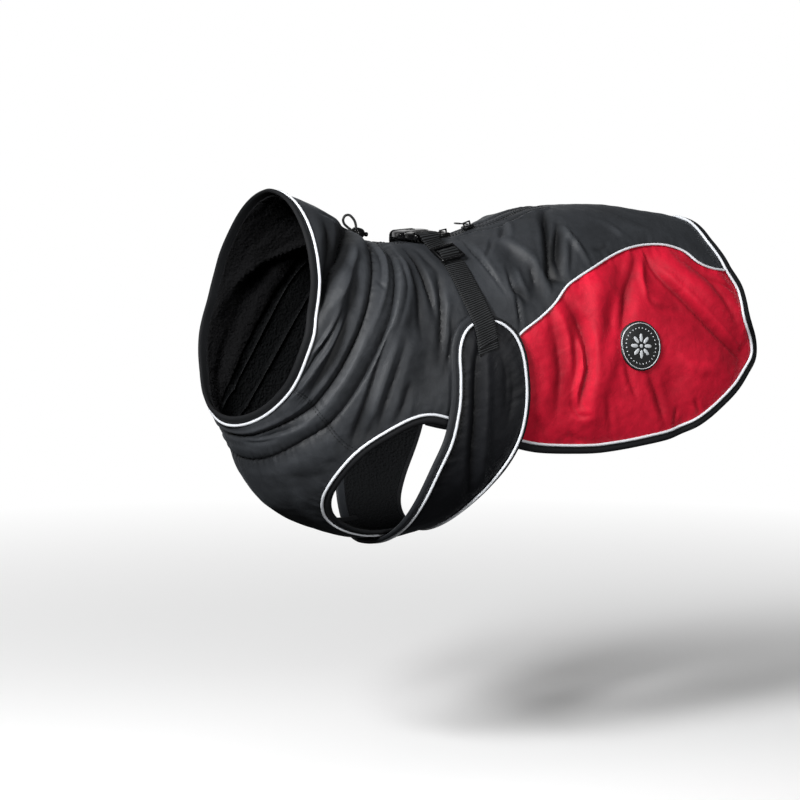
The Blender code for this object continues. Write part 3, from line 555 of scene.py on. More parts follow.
@dataclass(frozen=True)
class Figure:
    """The smooth form under the coat, and the large folds that the solids share."""

    sections: tuple[Section, ...] = SECTIONS
    folds: tuple[Fold, ...] = FOLDS

    def girths(self, along: Array) -> Array:
        """The columns of the section table at each place along the back.

        Args:
            along: The places.

        Returns:
            A row of columns for each place.
        """
        table = np.array(self.sections, float)
        last = len(table) - 2
        i = np.clip(np.searchsorted(table[:, 0], along, side="right") - 1, 0, last)
        before, start, end = table[np.maximum(i - 1, 0)], table[i], table[i + 1]
        after = table[np.minimum(i + 2, last + 1)]
        span = (end - start)[..., :1]
        t = (along[..., None] - start[..., :1]) / span
        slope_start = (end - before) / (end - before)[..., :1] * span
        slope_end = (after - start) / (after - start)[..., :1] * span
        return (
            (2 * t**3 - 3 * t**2 + 1) * start
            + (t**3 - 2 * t**2 + t) * slope_start
            + (3 * t**2 - 2 * t**3) * end
            + (t**3 - t**2) * slope_end
        )

    def point(self, stations: Array) -> Array:
        """The figure's points at stations, in millimetres.

        Args:
            stations: In any shape that ends in 2.

        Returns:
            A point for each.
        """
        along, around = stations[..., 0], np.radians(stations[..., 1])
        girth = dict(zip(Section._fields, np.moveaxis(self.girths(along), -1, 0)))
        turn = np.radians(girth["turn"])
        height = np.cos(around) - girth["drop"] * np.sin(around) ** 2
        swell = girth["square"] * np.sin(3 * around) - girth["egg"] * np.sin(2 * around)
        width = girth["half_width"] * (np.sin(around) + swell)
        half_x, half_z = ((girth[f"top_{k}"] - girth[f"bottom_{k}"]) / 2 for k in "xz")
        x = girth["bottom_x"] + half_x * (1 + height)
        z = girth["bottom_z"] + half_z * (1 + height)
        lean = girth["sweep"] * np.sin(around) ** 2
        return np.stack([x + width * np.sin(turn) + lean, -width * np.cos(turn), z], -1)

    def axes(self, stations: Array) -> tuple[Array, Array, Array]:
        """Unit vectors at stations: towards the tail, round to the left, and outwards."""
        step = 0.5
        tailward = unit(self.point(stations + (step, 0)) - self.point(stations - (step, 0)))
        roundward = unit(self.point(stations + (0, step)) - self.point(stations - (0, step)))
        return tailward, roundward, unit(np.cross(roundward, tailward))

    def fold_height(self, stations: Array) -> Array:
        """How far the large folds raise the cloth, in millimetres."""
        near, scale = left_view(stations)
        height = np.zeros(near.shape[:-1])
        for fold in self.folds:
            ends = np.array([[fold.along, fold.around], [fold.to_along, fold.to_around]])
            distance = off_line(near, ends)[0]
            height += fold.depth * np.exp(-((distance / fold.half_width) ** 2))
        return height * scale

    def cloth(self, stations: Array, lift: Array | float) -> Array:
        """The points that stand lift millimetres off the cloth's inner face, in metres."""
        height = self.fold_height(stations) + lift
        return (self.point(stations) + self.axes(stations)[2] * height[..., None]) * MM

    def seat(self, along: float, around: float, lift: float, heading: float = 0.0) -> Matrix:
        """The frame of a hard piece on the cloth: X towards the tail, Y to the right, Z outwards.

        Args:
            along: Its station along the back.
            around: Its station round the figure.
            lift: Height off the cloth's inner face, in millimetres.
            heading: A turn about Z, in radians.

        Returns:
            The frame.
        """
        station = np.array([along, around], float)
        tailward, _, outward = self.axes(station)
        across = unit(np.cross(outward, tailward))
        turn = Matrix([Vector(v) for v in (tailward, across, outward)]).transposed().to_4x4()
        place = Matrix.Translation(Vector(self.cloth(station, lift)))
        return place @ turn @ Matrix.Rotation(heading, 4, "Z")


def left_view(stations: Array) -> tuple[Array, Array]:
    """Stations as seen on the left flank, and the strength of the folds there.

    Args:
        stations: Stations on either flank.

    Returns:
        The stations of the left flank whose folds these share, and 1 or a little less.
    """
    around = (stations[..., 1] + 180) % 360 - 180
    far = around < 0
    near = np.stack([stations[..., 0] - np.where(far, FAR_FOLD_SHIFT, 0), np.abs(around)], -1)
    return near, np.where(far, FAR_FOLD_SCALE, 1.0)


FIGURE = Figure()


def waves(points: Array, wavelength: float, seed: int) -> Array:
    """Smooth uneven waves through space, about -1 to 1, for points in millimetres.

    Args:
        points: Where to work them out.
        wavelength: From one crest to the next, about, in millimetres.
        seed: For the random headings.

    Returns:
        A height for each point.
    """
    random = np.random.default_rng(seed)
    total = np.zeros(points.shape[:-1])
    for _ in range(7):
        heading = unit(random.normal(size=3))
        pitch = 2 * math.pi / (wavelength * random.uniform(0.7, 1.5))
        total += np.sin(points @ heading * pitch + random.uniform(0, 2 * math.pi))
    return total / 3.2


@dataclass(frozen=True)
class Seam:
    """A sewn line that the cloth dips into, with small gathers across it."""

    line: Array
    depth: float = 1.0
    width: float = 4.0
    gather: float = 0.18
    gather_pitch: float = 7.0
    puff: float = 0.0

    def relief(self, stations: Array, seed: int) -> Array:
        """How far the seam raises the cloth at stations, in millimetres.

        Args:
            stations: Where to work it out.
            seed: For the random gathers.

        Returns:
            A height for each station.
        """
        distance, place, _ = off_line(stations, self.line)
        random = np.random.default_rng(seed)
        wave = sum(
            np.sin(place * 2 * math.pi / (self.gather_pitch * pitch) + random.uniform(0, 6.28))
            for pitch in (0.71, 1.0, 1.57)
        )
        dip = self.puff * np.exp(-(((distance - 2 * self.width) / (1.2 * self.width)) ** 2))
        dip -= self.depth * np.exp(-distance / self.width)
        return dip + self.gather * wave * np.exp(-distance / (1.6 * self.width)) * np.minimum(distance, 1.5)


@dataclass(frozen=True)
class Pressed:
    """A strip where a finished edge or something on top holds the cloth between two heights."""

    line: Array
    reach: float
    most: float
    least: float = -99.0


@dataclass
class Cloth:
    """A layer of cloth on the figure, with its creases, and with seams that both flanks share."""

    lift: float = 0.0
    wall: float = WALL
    creases: tuple[Crease, ...] = CREASES
    strength: float = 1.85
    seams: list[Seam] = field(default_factory=list)
    zip_seams: list[Seam] = field(default_factory=list)
    broad: float = 0.5
    crinkle: float = 0.15
    pressed: list[Pressed] = field(default_factory=list)
    least: float = 0.45

    def relief(self, stations: Array) -> Array:
        """How far the fine creases raise the outer face at stations, in millimetres."""
        near, scale = left_view(stations)
        height = np.zeros(near.shape[:-1])
        for crease in self.creases:
            height += self._crease(near, crease) * scale
        points = FIGURE.point(stations)
        height += self.broad * waves(points, 46, 3) + self.crinkle * waves(points, 13, 4)
        mirrored = near + np.stack([np.where(scale < 1, FAR_FOLD_SHIFT, 0), np.zeros(scale.shape)], -1)
        for number, seam in enumerate(self.seams):
            height += seam.relief(mirrored, 20 + number)
        wrapped = mirrored * np.stack([np.ones(scale.shape), np.where(scale < 1, -1.0, 1.0)], -1)
        for number, seam in enumerate(self.zip_seams):
            height += seam.relief(wrapped, 60 + number)
        for strip in self.pressed:
            distance = off_line(mirrored, strip.line)[0]
            hold = np.clip((strip.reach - distance) / 5 + 1, 0, 1)
            height = np.clip(height, strip.least, strip.most) * hold + height * (1 - hold)
        return height

    def _crease(self, near: Array, crease: Crease) -> Array:
        """One crease's height at stations of the left flank, its sides no steeper than cloth stands.

        Args:
            near: The stations.
            crease: The crease.

        Returns:
            A height for each station.
        """
        depth = crease.depth * self.strength
        path = spaced(crease.path, 14)
        low, high = path.min(0), path.max(0)
        reach = 3.2 * crease.half_width * (1 + abs(crease.lean))
        inside = np.all((near > low - (reach, reach)) & (near < high + (reach, reach)), axis=-1)
        height = np.zeros(near.shape[:-1])
        if inside.any():
            distance, place, side = off_line(near[inside], path)
            length = off_line(path[-1:], path)[1][0]
            width = np.maximum(0.85 * crease.half_width * (1 - crease.lean * side), 0.55 * abs(depth))
            u = distance / width
            ridge = (1 - 0.35 * u**2) * np.exp(-(u**2) / 1.2)
            body = ridge if depth > 0 else np.exp(-1.15 * u**1.25) - 0.16 * np.exp(-((u - 2.1) ** 2))
            fade = np.clip(place / length, 0, 1)
            height[inside] = depth * body * np.sin(math.pi * (0.06 + 0.88 * fade)) ** 0.7
        return height

    def faces(self, stations: Array) -> tuple[Array, Array, Array]:
        """The outer and inner faces at stations, in metres, and how far folds raise them, in millimetres."""
        relief = self.relief(stations)
        sunk = np.minimum(relief + self.wall - self.least, 0)
        outer = FIGURE.cloth(stations, self.lift + self.wall + relief)
        raised = relief + 0.4 * FIGURE.fold_height(stations)
        return outer, FIGURE.cloth(stations, self.lift + sunk), raised

    def outer(self, stations: Array, proud: float = 0.0) -> Array:
        """Points on the outer face, or proud of it by some millimetres, in metres."""
        return FIGURE.cloth(stations, self.lift + self.wall + proud + self.relief(stations))


# ---------------------------------------------------------------- pieces in Blender


def select_nothing() -> None:
    """Leaves edit mode and deselects everything, so that the next operator acts on one piece."""
    if bpy.context.object and bpy.context.object.mode != "OBJECT":
        bpy.ops.object.mode_set(mode="OBJECT")
    bpy.ops.object.select_all(action="DESELECT")


def pick(piece: Piece) -> None:
    """Makes one piece the only selected and the active one."""
    select_nothing()
    piece.select_set(True)
    bpy.context.view_layer.objects.active = piece


def corners(piece: Piece) -> Array:
    """The piece's corner positions, one row each."""
    values = np.empty(len(piece.data.vertices) * 3)
    piece.data.vertices.foreach_get("co", values)
    return values.reshape(-1, 3)


def place_corners(piece: Piece, points: Array) -> None:
    """Moves the piece's corners to points."""
    piece.data.vertices.foreach_set("co", np.ascontiguousarray(points, float).ravel())
    piece.data.update()


def turn_outwards(piece: Piece) -> None:
    """Flips a closed piece whose faces point inwards."""
    mesh = piece.data
    mesh.calc_loop_triangles()
    triangles = np.empty(len(mesh.loop_triangles) * 3, int)
    mesh.loop_triangles.foreach_get("vertices", triangles)
    a, b, c = np.moveaxis(corners(piece)[triangles.reshape(-1, 3)], 1, 0)
    if np.einsum("ij,ij->", a, np.cross(b, c)) < 0:
        mesh.flip_normals()


def write_uv(piece: Piece, values: Array) -> None:
    """Gives each corner of the piece a place in its UV map, in millimetres.

    Args:
        piece: The piece.
        values: A place for each corner.
    """
    layer = piece.data.uv_layers.active or piece.data.uv_layers.new(name="cloth")
    index = np.empty(len(piece.data.loops), int)
    piece.data.loops.foreach_get("vertex_index", index)
    layer.data.foreach_set("uv", values[index].ravel())


def shade(piece: Piece, angle: float = 50.0) -> None:
    """Shades a piece smooth up to an angle in degrees."""
    pick(piece)
    bpy.ops.object.shade_smooth_by_angle(angle=math.radians(angle))


def grid(name: str, rows: int, columns: int) -> Piece:
    """Adds a flat grid with its corners at whole numbers: the row in Y and the column in X.

    Args:
        name: The piece's name.
        rows: Corners in Y.
        columns: Corners in X.

    Returns:
        The grid.
    """
    select_nothing()
    bpy.ops.mesh.primitive_grid_add(x_subdivisions=columns - 1, y_subdivisions=rows - 1, size=1.0)
    piece = bpy.context.object
    piece.name = piece.data.name = name
    place_corners(piece, np.rint((corners(piece) + (0.5, 0.5, 0)) * (columns - 1, rows - 1, 1)))
    return piece


def slab(name: str, outer: Array, inner: Array, uv: Array, raised: Array | None = None) -> Piece:
    """A closed wall between two faces, each a grid of points.

    Args:
        name: The piece's name.
        outer: The outer face's points, rows by columns, in metres.
        inner: The inner face's points.
        uv: The UV map's place of each point, in millimetres.
        raised: How far folds raise each point, in millimetres, kept as an attribute of the mesh.

    Returns:
        The piece, with its inner face in the second material slot.
    """
    piece = grid(name, *outer.shape[:2])
    bpy.ops.object.mode_set(mode="EDIT")
    bpy.ops.mesh.select_all(action="SELECT")
    bpy.ops.mesh.extrude_region_move(TRANSFORM_OT_translate={"value": (0, 0, 1)})
    bpy.ops.mesh.select_all(action="SELECT")
    bpy.ops.mesh.normals_make_consistent(inside=False)
    bpy.ops.object.mode_set(mode="OBJECT")
    column, row, layer = np.rint(corners(piece)).astype(int).T
    place_corners(piece, np.where(layer[:, None] > 0, outer[row, column], inner[row, column]))
    write_uv(piece, uv[row, column])
    if raised is not None:
        folds = piece.data.attributes.new(FOLD_ATTRIBUTE, "FLOAT", "POINT")
        folds.data.foreach_set("value", raised[row, column])
    inside = [all(layer[v] == 0 for v in face.vertices) for face in piece.data.polygons]
    piece.data.polygons.foreach_set("material_index", np.array(inside, int))
    turn_outwards(piece)
    shade(piece)
    return piece


def tube(name: str, rings: Array, uv: Array | None = None, angle: float = 50.0) -> Piece:
    """A closed tube through rings of points.

    Args:
        name: The piece's name.
        rings: Points of each ring, rings by points, in metres, with no point repeated.
        uv: The UV map's place of each point, in millimetres, or None for the lengths along and round.
        angle: The angle in degrees up to which it is shaded smooth.

    Returns:
        The piece, with both ends closed.
    """
    wrapped = np.concatenate([rings, rings[:, :1]], axis=1)
    if uv is None:
        along = lengths_along(rings.mean(1))
        steps = np.linalg.norm(np.diff(wrapped, axis=1), axis=2).mean(0)
        round_it = np.r_[0, np.cumsum(steps)]
        uv = np.stack(np.broadcast_arrays(along[:, None], round_it[None]), -1) / MM
    piece = grid(name, *wrapped.shape[:2])
    column, row, _ = np.rint(corners(piece)).astype(int).T
    write_uv(piece, uv[row, column])
    place_corners(piece, wrapped[row, column])
    bpy.ops.object.mode_set(mode="EDIT")
    bpy.ops.mesh.select_all(action="SELECT")
    bpy.ops.mesh.remove_doubles(threshold=1e-7)
    bpy.ops.mesh.fill_holes(sides=0)
    bpy.ops.mesh.select_all(action="SELECT")
    bpy.ops.mesh.normals_make_consistent(inside=False)
    bpy.ops.object.mode_set(mode="OBJECT")
    turn_outwards(piece)
    shade(piece, angle)
    return piece


def block(name: str, size: Sequence[float], centre: Sequence[float], bevel: float = 0.0) -> Piece:
    """A box with rounded edges, in millimetres, as a start for a moulded piece.

    Args:
        name: The piece's name.
        size: Its three sizes.
        centre: Its middle.
        bevel: How far its edges are rounded.

    Returns:
        The box.
    """
    select_nothing()
    bpy.ops.mesh.primitive_cube_add(size=1.0)
    piece = bpy.context.object
    piece.name = piece.data.name = name
    place_corners(piece, (corners(piece) * size + centre) * MM)
    if bevel:
        apply(piece, "BEVEL", width=bevel * MM, segments=3, limit_method="NONE")
    return piece


def apply(piece: Piece, kind: str, **settings: Any) -> None:
    """Adds a modifier with its settings to a piece and applies it.

    Args:
        piece: The piece.
        kind: The modifier's type.
        settings: Values of its settings.
    """
    pick(piece)
    modifier = piece.modifiers.new(kind.lower(), kind)
    for key, value in settings.items():
        setattr(modifier, key, value)
    bpy.ops.object.modifier_apply(modifier=modifier.name)


def combine(piece: Piece, others: Iterable[Piece], operation: str) -> None:
    """Joins pieces to a solid piece or cuts them from it, and removes them.

    Args:
        piece: The solid piece.
        others: The pieces to join or cut.
        operation: UNION or DIFFERENCE.
    """
    for other in others:
        apply(piece, "BOOLEAN", object=other, operation=operation, solver="EXACT")
        bpy.data.objects.remove(other)


def join(name: str, pieces: Sequence[Piece]) -> Piece:
    """Several pieces made one object.

    Args:
        name: The new object's name.
        pieces: What goes into it.

    Returns:
        The object.
    """
    pick(pieces[0])
    for piece in pieces[1:]:
        piece.select_set(True)
    bpy.ops.object.join()
    pieces[0].name = pieces[0].data.name = name
    return pieces[0]


def copies(name: str, base: Piece, frames: Array) -> Piece:
    """One object of many copies of a small piece.

    Args:
        name: The object's name.
        base: The small piece, centred on the origin.
        frames: A 4 by 4 matrix for each copy.

    Returns:
        The object.
    """
    points = corners(base)
    apply(base, "ARRAY", count=len(frames), relative_offset_displace=(2, 0, 0))
    spread = np.einsum("nij,vj->nvi", frames[:, :3, :3], points) + frames[:, None, :3, 3]
    place_corners(base, spread.reshape(-1, 3))
    base.name = base.data.name = name
    shade(base, 60)
    return base


# ---------------------------------------------------------------- finishes


def linear(colour: str) -> tuple[float, float, float, float]:
    """An sRGB hex colour as linear red, green, blue and alpha."""
    values = [int(colour[i : i + 2], 16) / 255 for i in (1, 3, 5)]
    red, green, blue = (c / 12.92 if c <= 0.04045 else ((c + 0.055) / 1.055) ** 2.4 for c in values)
    return red, green, blue, 1.0


def add_node(
    tree: NodeTree, kind: str, settings: dict[str, Any] | None = None, **links: Any
) -> Node:
    """Adds a node to a material.

    Args:
        tree: The material's node tree.
        kind: The node's type, without its ShaderNode prefix.
        settings: Values for the node's attributes, or else for its sockets.
        links: The node, or node and output name, that feeds each socket. A key of i and a number is that
            socket's place.

    Returns:
        The node.
    """
    node = tree.nodes.new(f"ShaderNode{kind}")
    for key, value in (settings or {}).items():
        if hasattr(node, key):
            setattr(node, key, value)
        else:
            node.inputs[key].default_value = value
    for key, source in links.items():
        source, output = source if isinstance(source, tuple) else (source, 0)
        numbered = key[0] == "i" and key[1:].isdigit()
        tree.links.new(source.outputs[output], node.inputs[int(key[1:]) if numbered else key])
    return node


def bare(name: str) -> bpy.types.Material:
    """A new material with no nodes."""
    made = bpy.data.materials.new(name)
    made.use_nodes = True
    made.node_tree.nodes.clear()
    return made


def yarn_sheen(weight: float, roughness: float, tint: str, gloss: float) -> dict[str, Any]:
    """Shader values for the sheen of yarn: how much, how rough and of what colour, and the gloss."""
    return {
        "Sheen Weight": weight,
        "Sheen Roughness": roughness,
        "Sheen Tint": linear(tint),
        "Specular IOR Level": gloss,
    }


@dataclass(frozen=True)
class Finish:
    """A material: what it is made of, and how its surface was made."""

    name: str
    colour: str
    roughness: float = 0.5
    slot: str = ""

    def sockets(self) -> dict[str, Any]:
        """Constant values for the shader's own sockets."""
        return {}

    def pattern(self, tree: NodeTree, shader: Node) -> None:
        """Adds the surface's pattern.

        Args:
            tree: The material's node tree.
            shader: Its shader.
        """

    def build(self) -> bpy.types.Material:
        """The material, made once."""
        found = bpy.data.materials.get(self.name)
        if found:
            return found
        made = bare(self.name)
        values = {"Base Color": linear(self.colour), "Roughness": self.roughness, **self.sockets()}
        shader = add_node(made.node_tree, "BsdfPrincipled", values)
        add_node(made.node_tree, "OutputMaterial", Surface=shader)
        self.pattern(made.node_tree, shader)
        return made

    @staticmethod
    def bump(
        tree: NodeTree, shader: Node, height: Any, depth_mm: float, under: Any = None
    ) -> Node:
        """Bumps the shader by a height pattern, on top of another bump if one is given.

        Args:
            tree: The material's node tree.
            shader: Its shader.
            height: The node and output of the pattern.
            depth_mm: How deep the pattern is.
            under: The bump below it.

        Returns:
            The bump.
        """
        links = {"Height": height}
        if under is not None:
            links["Normal"] = under
        node = add_node(tree, "Bump", {"Strength": 1.0, "Distance": depth_mm * MM}, **links)
        tree.links.new(node.outputs["Normal"], shader.inputs["Normal"])
        return node

    @staticmethod
    def uv(tree: NodeTree) -> tuple[Node, str]:
        """The piece's UV map, in millimetres."""
        return add_node(tree, "TexCoord"), "UV"

    @staticmethod
    def object_mm(tree: NodeTree) -> Node:
        """Object coordinates in millimetres."""
        scale = {"operation": "SCALE", "Scale": 1 / MM}
        return add_node(tree, "VectorMath", scale, i0=(add_node(tree, "TexCoord"), "Object"))

    def shares(
        self,
        tree: NodeTree,
        pattern: Node,
        places: tuple[float, float],
        shares: tuple[float, float],
    ) -> Node:
        """The finish's colour, scaled by a pattern.

        Args:
            tree: The material's node tree.
            pattern: The node with the pattern.
            places: Two of the pattern's values.
            shares: The colour's share at each of them.

        Returns:
            The node that gives the colour.
        """
        red, green, blue, _ = linear(self.colour)
        ramp = add_node(tree, "ValToRGB", {}, Fac=(pattern, "Fac"))
        for stop, place, share in zip(ramp.color_ramp.elements, places, shares):
            stop.position = place
            stop.color = (red * share, green * share, blue * share, 1.0)
        return ramp


@dataclass(frozen=True)
class ShellCloth(Finish):
    """Coated polyester shell: smooth calendered face with a soft satin sheen over a close plain weave."""

    sheen: float = 0.06
    sheen_tint: str = "#9aa3ad"
    thread_mm: float = 0.9  # really about 0.2 mm, drawn coarse enough to show
    weave_mm: float = 0.02
    # Painted shade: the colour's share that is left in the deepest fold hollows.
    painted_hollow_share: float = 0.2  # the colour's share that is left in the deepest hollows

    def sockets(self) -> dict[str, Any]:
        """A little sheen from the brushed polyester, and a weak gloss from its coating."""
        return {**yarn_sheen(self.sheen, 0.35, self.sheen_tint, 0.20), "IOR": 1.5}

    def pattern(self, tree: NodeTree, shader: Node) -> None:
        """Threads both ways, faint wrinkles, and painted shade in fold hollows with painted light on their
        ridges.
        """
        mm = self.object_mm(tree)
        patches = add_node(tree, "TexNoise", {"Scale": 1 / 14, "Detail": 8.0, "Roughness": 0.82}, Vector=mm)
        mottled = self.shares(tree, patches, (0.3, 0.7), (0.78, 1.22))
        # Painted shade and light: the fold height darkens the colour in hollows and lightens it on ridges.
        folds = add_node(tree, "Attribute", {"attribute_name": FOLD_ATTRIBUTE})
        painted_ridge_light = 1 + 0.3 * (1 - self.painted_hollow_share)
        ends = {"From Min": -4.0, "From Max": 1.2, "To Min": self.painted_hollow_share, "To Max": painted_ridge_light}
        painted_fold_shade = add_node(tree, "MapRange", ends, Value=(folds, "Fac"))
        cloth = add_node(tree, "VectorMath", {"operation": "SCALE"}, i0=mottled, Scale=painted_fold_shade)
        tree.links.new(cloth.outputs["Vector"], shader.inputs["Base Color"])
        uv = self.uv(tree)
        threads = {"Scale": WAVE / self.thread_mm, "Distortion": 0.4}
        warp, weft = (
            (add_node(tree, "TexWave", {"bands_direction": way, **threads}, Vector=uv), "Fac")
            for way in "XY"
        )
        weave = add_node(tree, "Math", {"operation": "MULTIPLY"}, i0=warp, i1=weft)
        fine = self.bump(tree, shader, weave, self.weave_mm)
        creased = {"Scale": 1 / 16, "Detail": 4.0, "Roughness": 0.55, "Distortion": 0.8}
        self.bump(tree, shader, (add_node(tree, "TexNoise", creased, Vector=mm), "Fac"), 0.7, under=fine)


@dataclass(frozen=True)
class FleeceCloth(Finish):
    """Polyester fleece: a deep brushed nap that drinks the light and clumps in small curls."""

    curl_mm: float = 2.4

    def sockets(self) -> dict[str, Any]:
        """Strong rough sheen, as the nap's tips catch light at a slant."""
        return yarn_sheen(0.05, 0.6, "#6a6c70", 0.06)

    def pattern(self, tree: NodeTree, shader: Node) -> None:
        """Curls of nap."""
        mm = self.object_mm(tree)
        curls = add_node(tree, "TexVoronoi", {"Scale": 1 / self.curl_mm}, Vector=mm)
        nap = add_node(tree, "TexNoise", {"Scale": 1.6, "Detail": 4.0}, Vector=mm)
        rough = self.bump(tree, shader, (curls, "Distance"), 1.2)
        self.bump(tree, shader, (nap, "Fac"), 0.5, under=rough)


@dataclass(frozen=True)
class Tape(Finish):
    """Woven polyester tape or webbing: ribs of weft packed across the warp."""

    rib_mm: float = 1.1
    depth_mm: float = 0.12
    across: bool = False
    # Painted shade in the dips between ribs, and painted light on the ribs.
    painted_rib_shade: float = 0.0  # how much darker the dips between ribs are

    def sockets(self) -> dict[str, Any]:
        """A dry, slightly silky yarn."""
        return yarn_sheen(0.04, 0.4, "#8a8a86", 0.16)

    def pattern(self, tree: NodeTree, shader: Node) -> None:
        """Ribs along or across the tape, broken up as yarn is."""
        uv = self.uv(tree)
        settings = {
            "bands_direction": "Y" if self.across else "X",
            "Scale": WAVE / self.rib_mm,
            "Distortion": 0.6,
            "Detail": 1.0,
        }
        ribs = add_node(tree, "TexWave", settings, Vector=uv)
        yarn = add_node(tree, "TexNoise", {"Scale": 1.3, "Detail": 3.0}, Vector=uv)
        under = self.bump(tree, shader, (ribs, "Fac"), self.depth_mm)
        self.bump(tree, shader, (yarn, "Fac"), 0.18, under=under)
        # Painted shade in the dips between ribs and painted light on their crests.
        if self.painted_rib_shade:
            ramp = self.shares(tree, ribs, (0.35, 0.8), (1 - self.painted_rib_shade, 1 + 1.6 * self.painted_rib_shade))
            tree.links.new(ramp.outputs["Color"], shader.inputs["Base Color"])


@dataclass(frozen=True)
class ReflectivePiping(Finish):
    """Glass-bead reflective film over a cord: a smooth silvery white with a fine grain."""

    def sockets(self) -> dict[str, Any]:
        """A satin film."""
        return {"Specular IOR Level": 0.6, "Coat Weight": 0.15, "Coat Roughness": 0.3}

    def pattern(self, tree: NodeTree, shader: Node) -> None:
        """Grain of the beads."""
        uv = self.uv(tree)
        grain = add_node(tree, "TexNoise", {"Scale": 1.8, "Detail": 2.0}, Vector=uv)
        self.bump(tree, shader, (grain, "Fac"), 0.06)


@dataclass(frozen=True)
class Moulded(Finish):
    """Injection-moulded acetal: glossy, with a faint waviness and small scuffs."""

    def sockets(self) -> dict[str, Any]:
        """Acetal's gloss."""
        return {"IOR": 1.48, "Specular IOR Level": 0.6}

    def pattern(self, tree: NodeTree, shader: Node) -> None:
        """Scuffs in the gloss, and the mould's slight unevenness."""
        mm = self.object_mm(tree)
        scuff = add_node(tree, "TexNoise", {"Scale": 0.8, "Detail": 6.0, "Roughness": 0.7}, Vector=mm)
        smooth, rough = self.roughness - 0.02, self.roughness + 0.08
        ends = {"From Min": 0.35, "From Max": 0.75, "To Min": smooth, "To Max": rough}
        spread = add_node(tree, "MapRange", ends, Value=(scuff, "Fac"))
        tree.links.new(spread.outputs["Result"], shader.inputs["Roughness"])
        wavy = add_node(tree, "TexNoise", {"Scale": 0.22, "Detail": 1.0}, Vector=mm)
        self.bump(tree, shader, (wavy, "Fac"), 0.08)


@dataclass(frozen=True)
class LacqueredZinc(Finish):
    """Die-cast zinc under black lacquer."""

    def sockets(self) -> dict[str, Any]:
        """Lacquer over metal."""
        return {"Metallic": 0.75, "Coat Weight": 0.5, "Coat Roughness": 0.2}

    def pattern(self, tree: NodeTree, shader: Node) -> None:
        """Orange peel in the lacquer."""
        peel = add_node(tree, "TexNoise", {"Scale": 1.5, "Detail": 2.0}, Vector=self.object_mm(tree))
        self.bump(tree, shader, (peel, "Fac"), 0.05)


@dataclass(frozen=True)
class BraidedCord(Finish):
    """Elastic cord in a braided polyester sleeve."""

    strand_mm: float = 1.3

    def sockets(self) -> dict[str, Any]:
        """Silky yarn."""
        return {"Sheen Weight": 0.3, "Sheen Roughness": 0.35, "Sheen Tint": linear("#777777")}

    def pattern(self, tree: NodeTree, shader: Node) -> None:
        """Strands that cross both ways."""
        uv = self.uv(tree)
        strands = []
        for angle in (0.8, -0.8):
            turned = add_node(tree, "Mapping", {"Rotation": (0, 0, angle)}, Vector=uv)
            strand = add_node(tree, "TexWave", {"Scale": WAVE / self.strand_mm}, Vector=turned)
            strands.append((strand, "Fac"))
        braid = add_node(tree, "Math", {"operation": "MAXIMUM"}, i0=strands[0], i1=strands[1])
        self.bump(tree, shader, braid, 0.25)


@dataclass(frozen=True)
class Rubber(Finish):
    """Moulded soft PVC: dull, faintly grained."""

    def pattern(self, tree: NodeTree, shader: Node) -> None:
        """A fine mould grain."""
        grain = add_node(tree, "TexNoise", {"Scale": 1.1, "Detail": 4.0}, Vector=self.object_mm(tree))
        self.bump(tree, shader, (grain, "Fac"), 0.08)


# Shell cloths paint shade into their fold hollows and light onto their ridges; the red keeps half its colour
# in the hollows.
CHARCOAL = ShellCloth("charcoal_shell", "#2a2c2f", 0.55, "charcoal_cloth")
# A darker copy of the charcoal cloth in the same slot, for the belly band: painted shade.
SHADED_CHARCOAL = ShellCloth("dark_shell", "#131417", 0.52, "charcoal_cloth")
EDGING = ShellCloth("edging_shell", "#232528", 0.54, "black_binding")
RED = ShellCloth("red_shell", "#b9152d", 0.50, "red_cloth", sheen=0.16, sheen_tint="#ff8f9c", painted_hollow_share=0.5)
BACKING = FleeceCloth("fleece_backing", "#101112", 0.95, "charcoal_cloth")
FLEECE = FleeceCloth("curly_fleece", "#0e0e0f", 0.95, "black_fleece")
BINDING = Tape("black_binding_tape", "#131416", 0.7, "black_binding", rib_mm=0.9, depth_mm=0.05)
PIPING = ReflectivePiping("reflective_piping", "#cfd2d7", 0.36, "white_piping")
# The webbing's ribs carry painted shade and painted light.
WEBBING = Tape("ribbed_webbing", "#18191a", 0.62, "black_webbing", rib_mm=2.0, depth_mm=0.2, painted_rib_shade=0.97)
ZIP_TAPE = Tape("black_zip_tape", "#151618", 0.7, "black_zip", rib_mm=0.8, depth_mm=0.05, across=True)
TEETH = Moulded("black_zip_teeth", "#0f1011", 0.35, "black_zip")
PLASTIC = Moulded("black_acetal", "#060607", 0.17, "black_plastic")
ZINC = LacqueredZinc("black_lacquered_zinc", "#101112", 0.32, "black_painted_metal")
CORD = BraidedCord("black_braided_cord", "#08090a", 0.6, "black_cord")
THREAD = Tape("black_thread", "#0e0f10", 0.55, "black_binding", rib_mm=0.4, depth_mm=0.05)
PATCH_BLACK = Rubber("patch_black_rubber", "#141516", 0.5, "patch")
PATCH_PALE = Rubber("patch_pale_rubber", "#b9bcbf", 0.5, "patch")


def dress(
    piece: Piece,
    finish: Finish,
    *nodes: str,
    inside: Finish | None = None,
    body: Body = Body.COAT,
) -> Piece:
    """Gives a piece its finish and body, names it after the first solid that it stands for, and hides those
    solids.

    Args:
        piece: The piece.
        finish: Its finish.
        nodes: The solids that it replaces.
        inside: The finish of its second material slot, if it has one.
        body: The body that it rides on.

    Returns:
        The piece.
    """
    if nodes:
        piece.name = piece.data.name = f"{nodes[0]}_fine"
    for each in (finish, inside or finish):
        piece.data.materials.append(each.build())
    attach(piece, body.value)
    if nodes:
        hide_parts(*nodes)
    log.info("%s: %d faces", piece.name, len(piece.data.polygons) if piece.type == "MESH" else 0)
    return piece


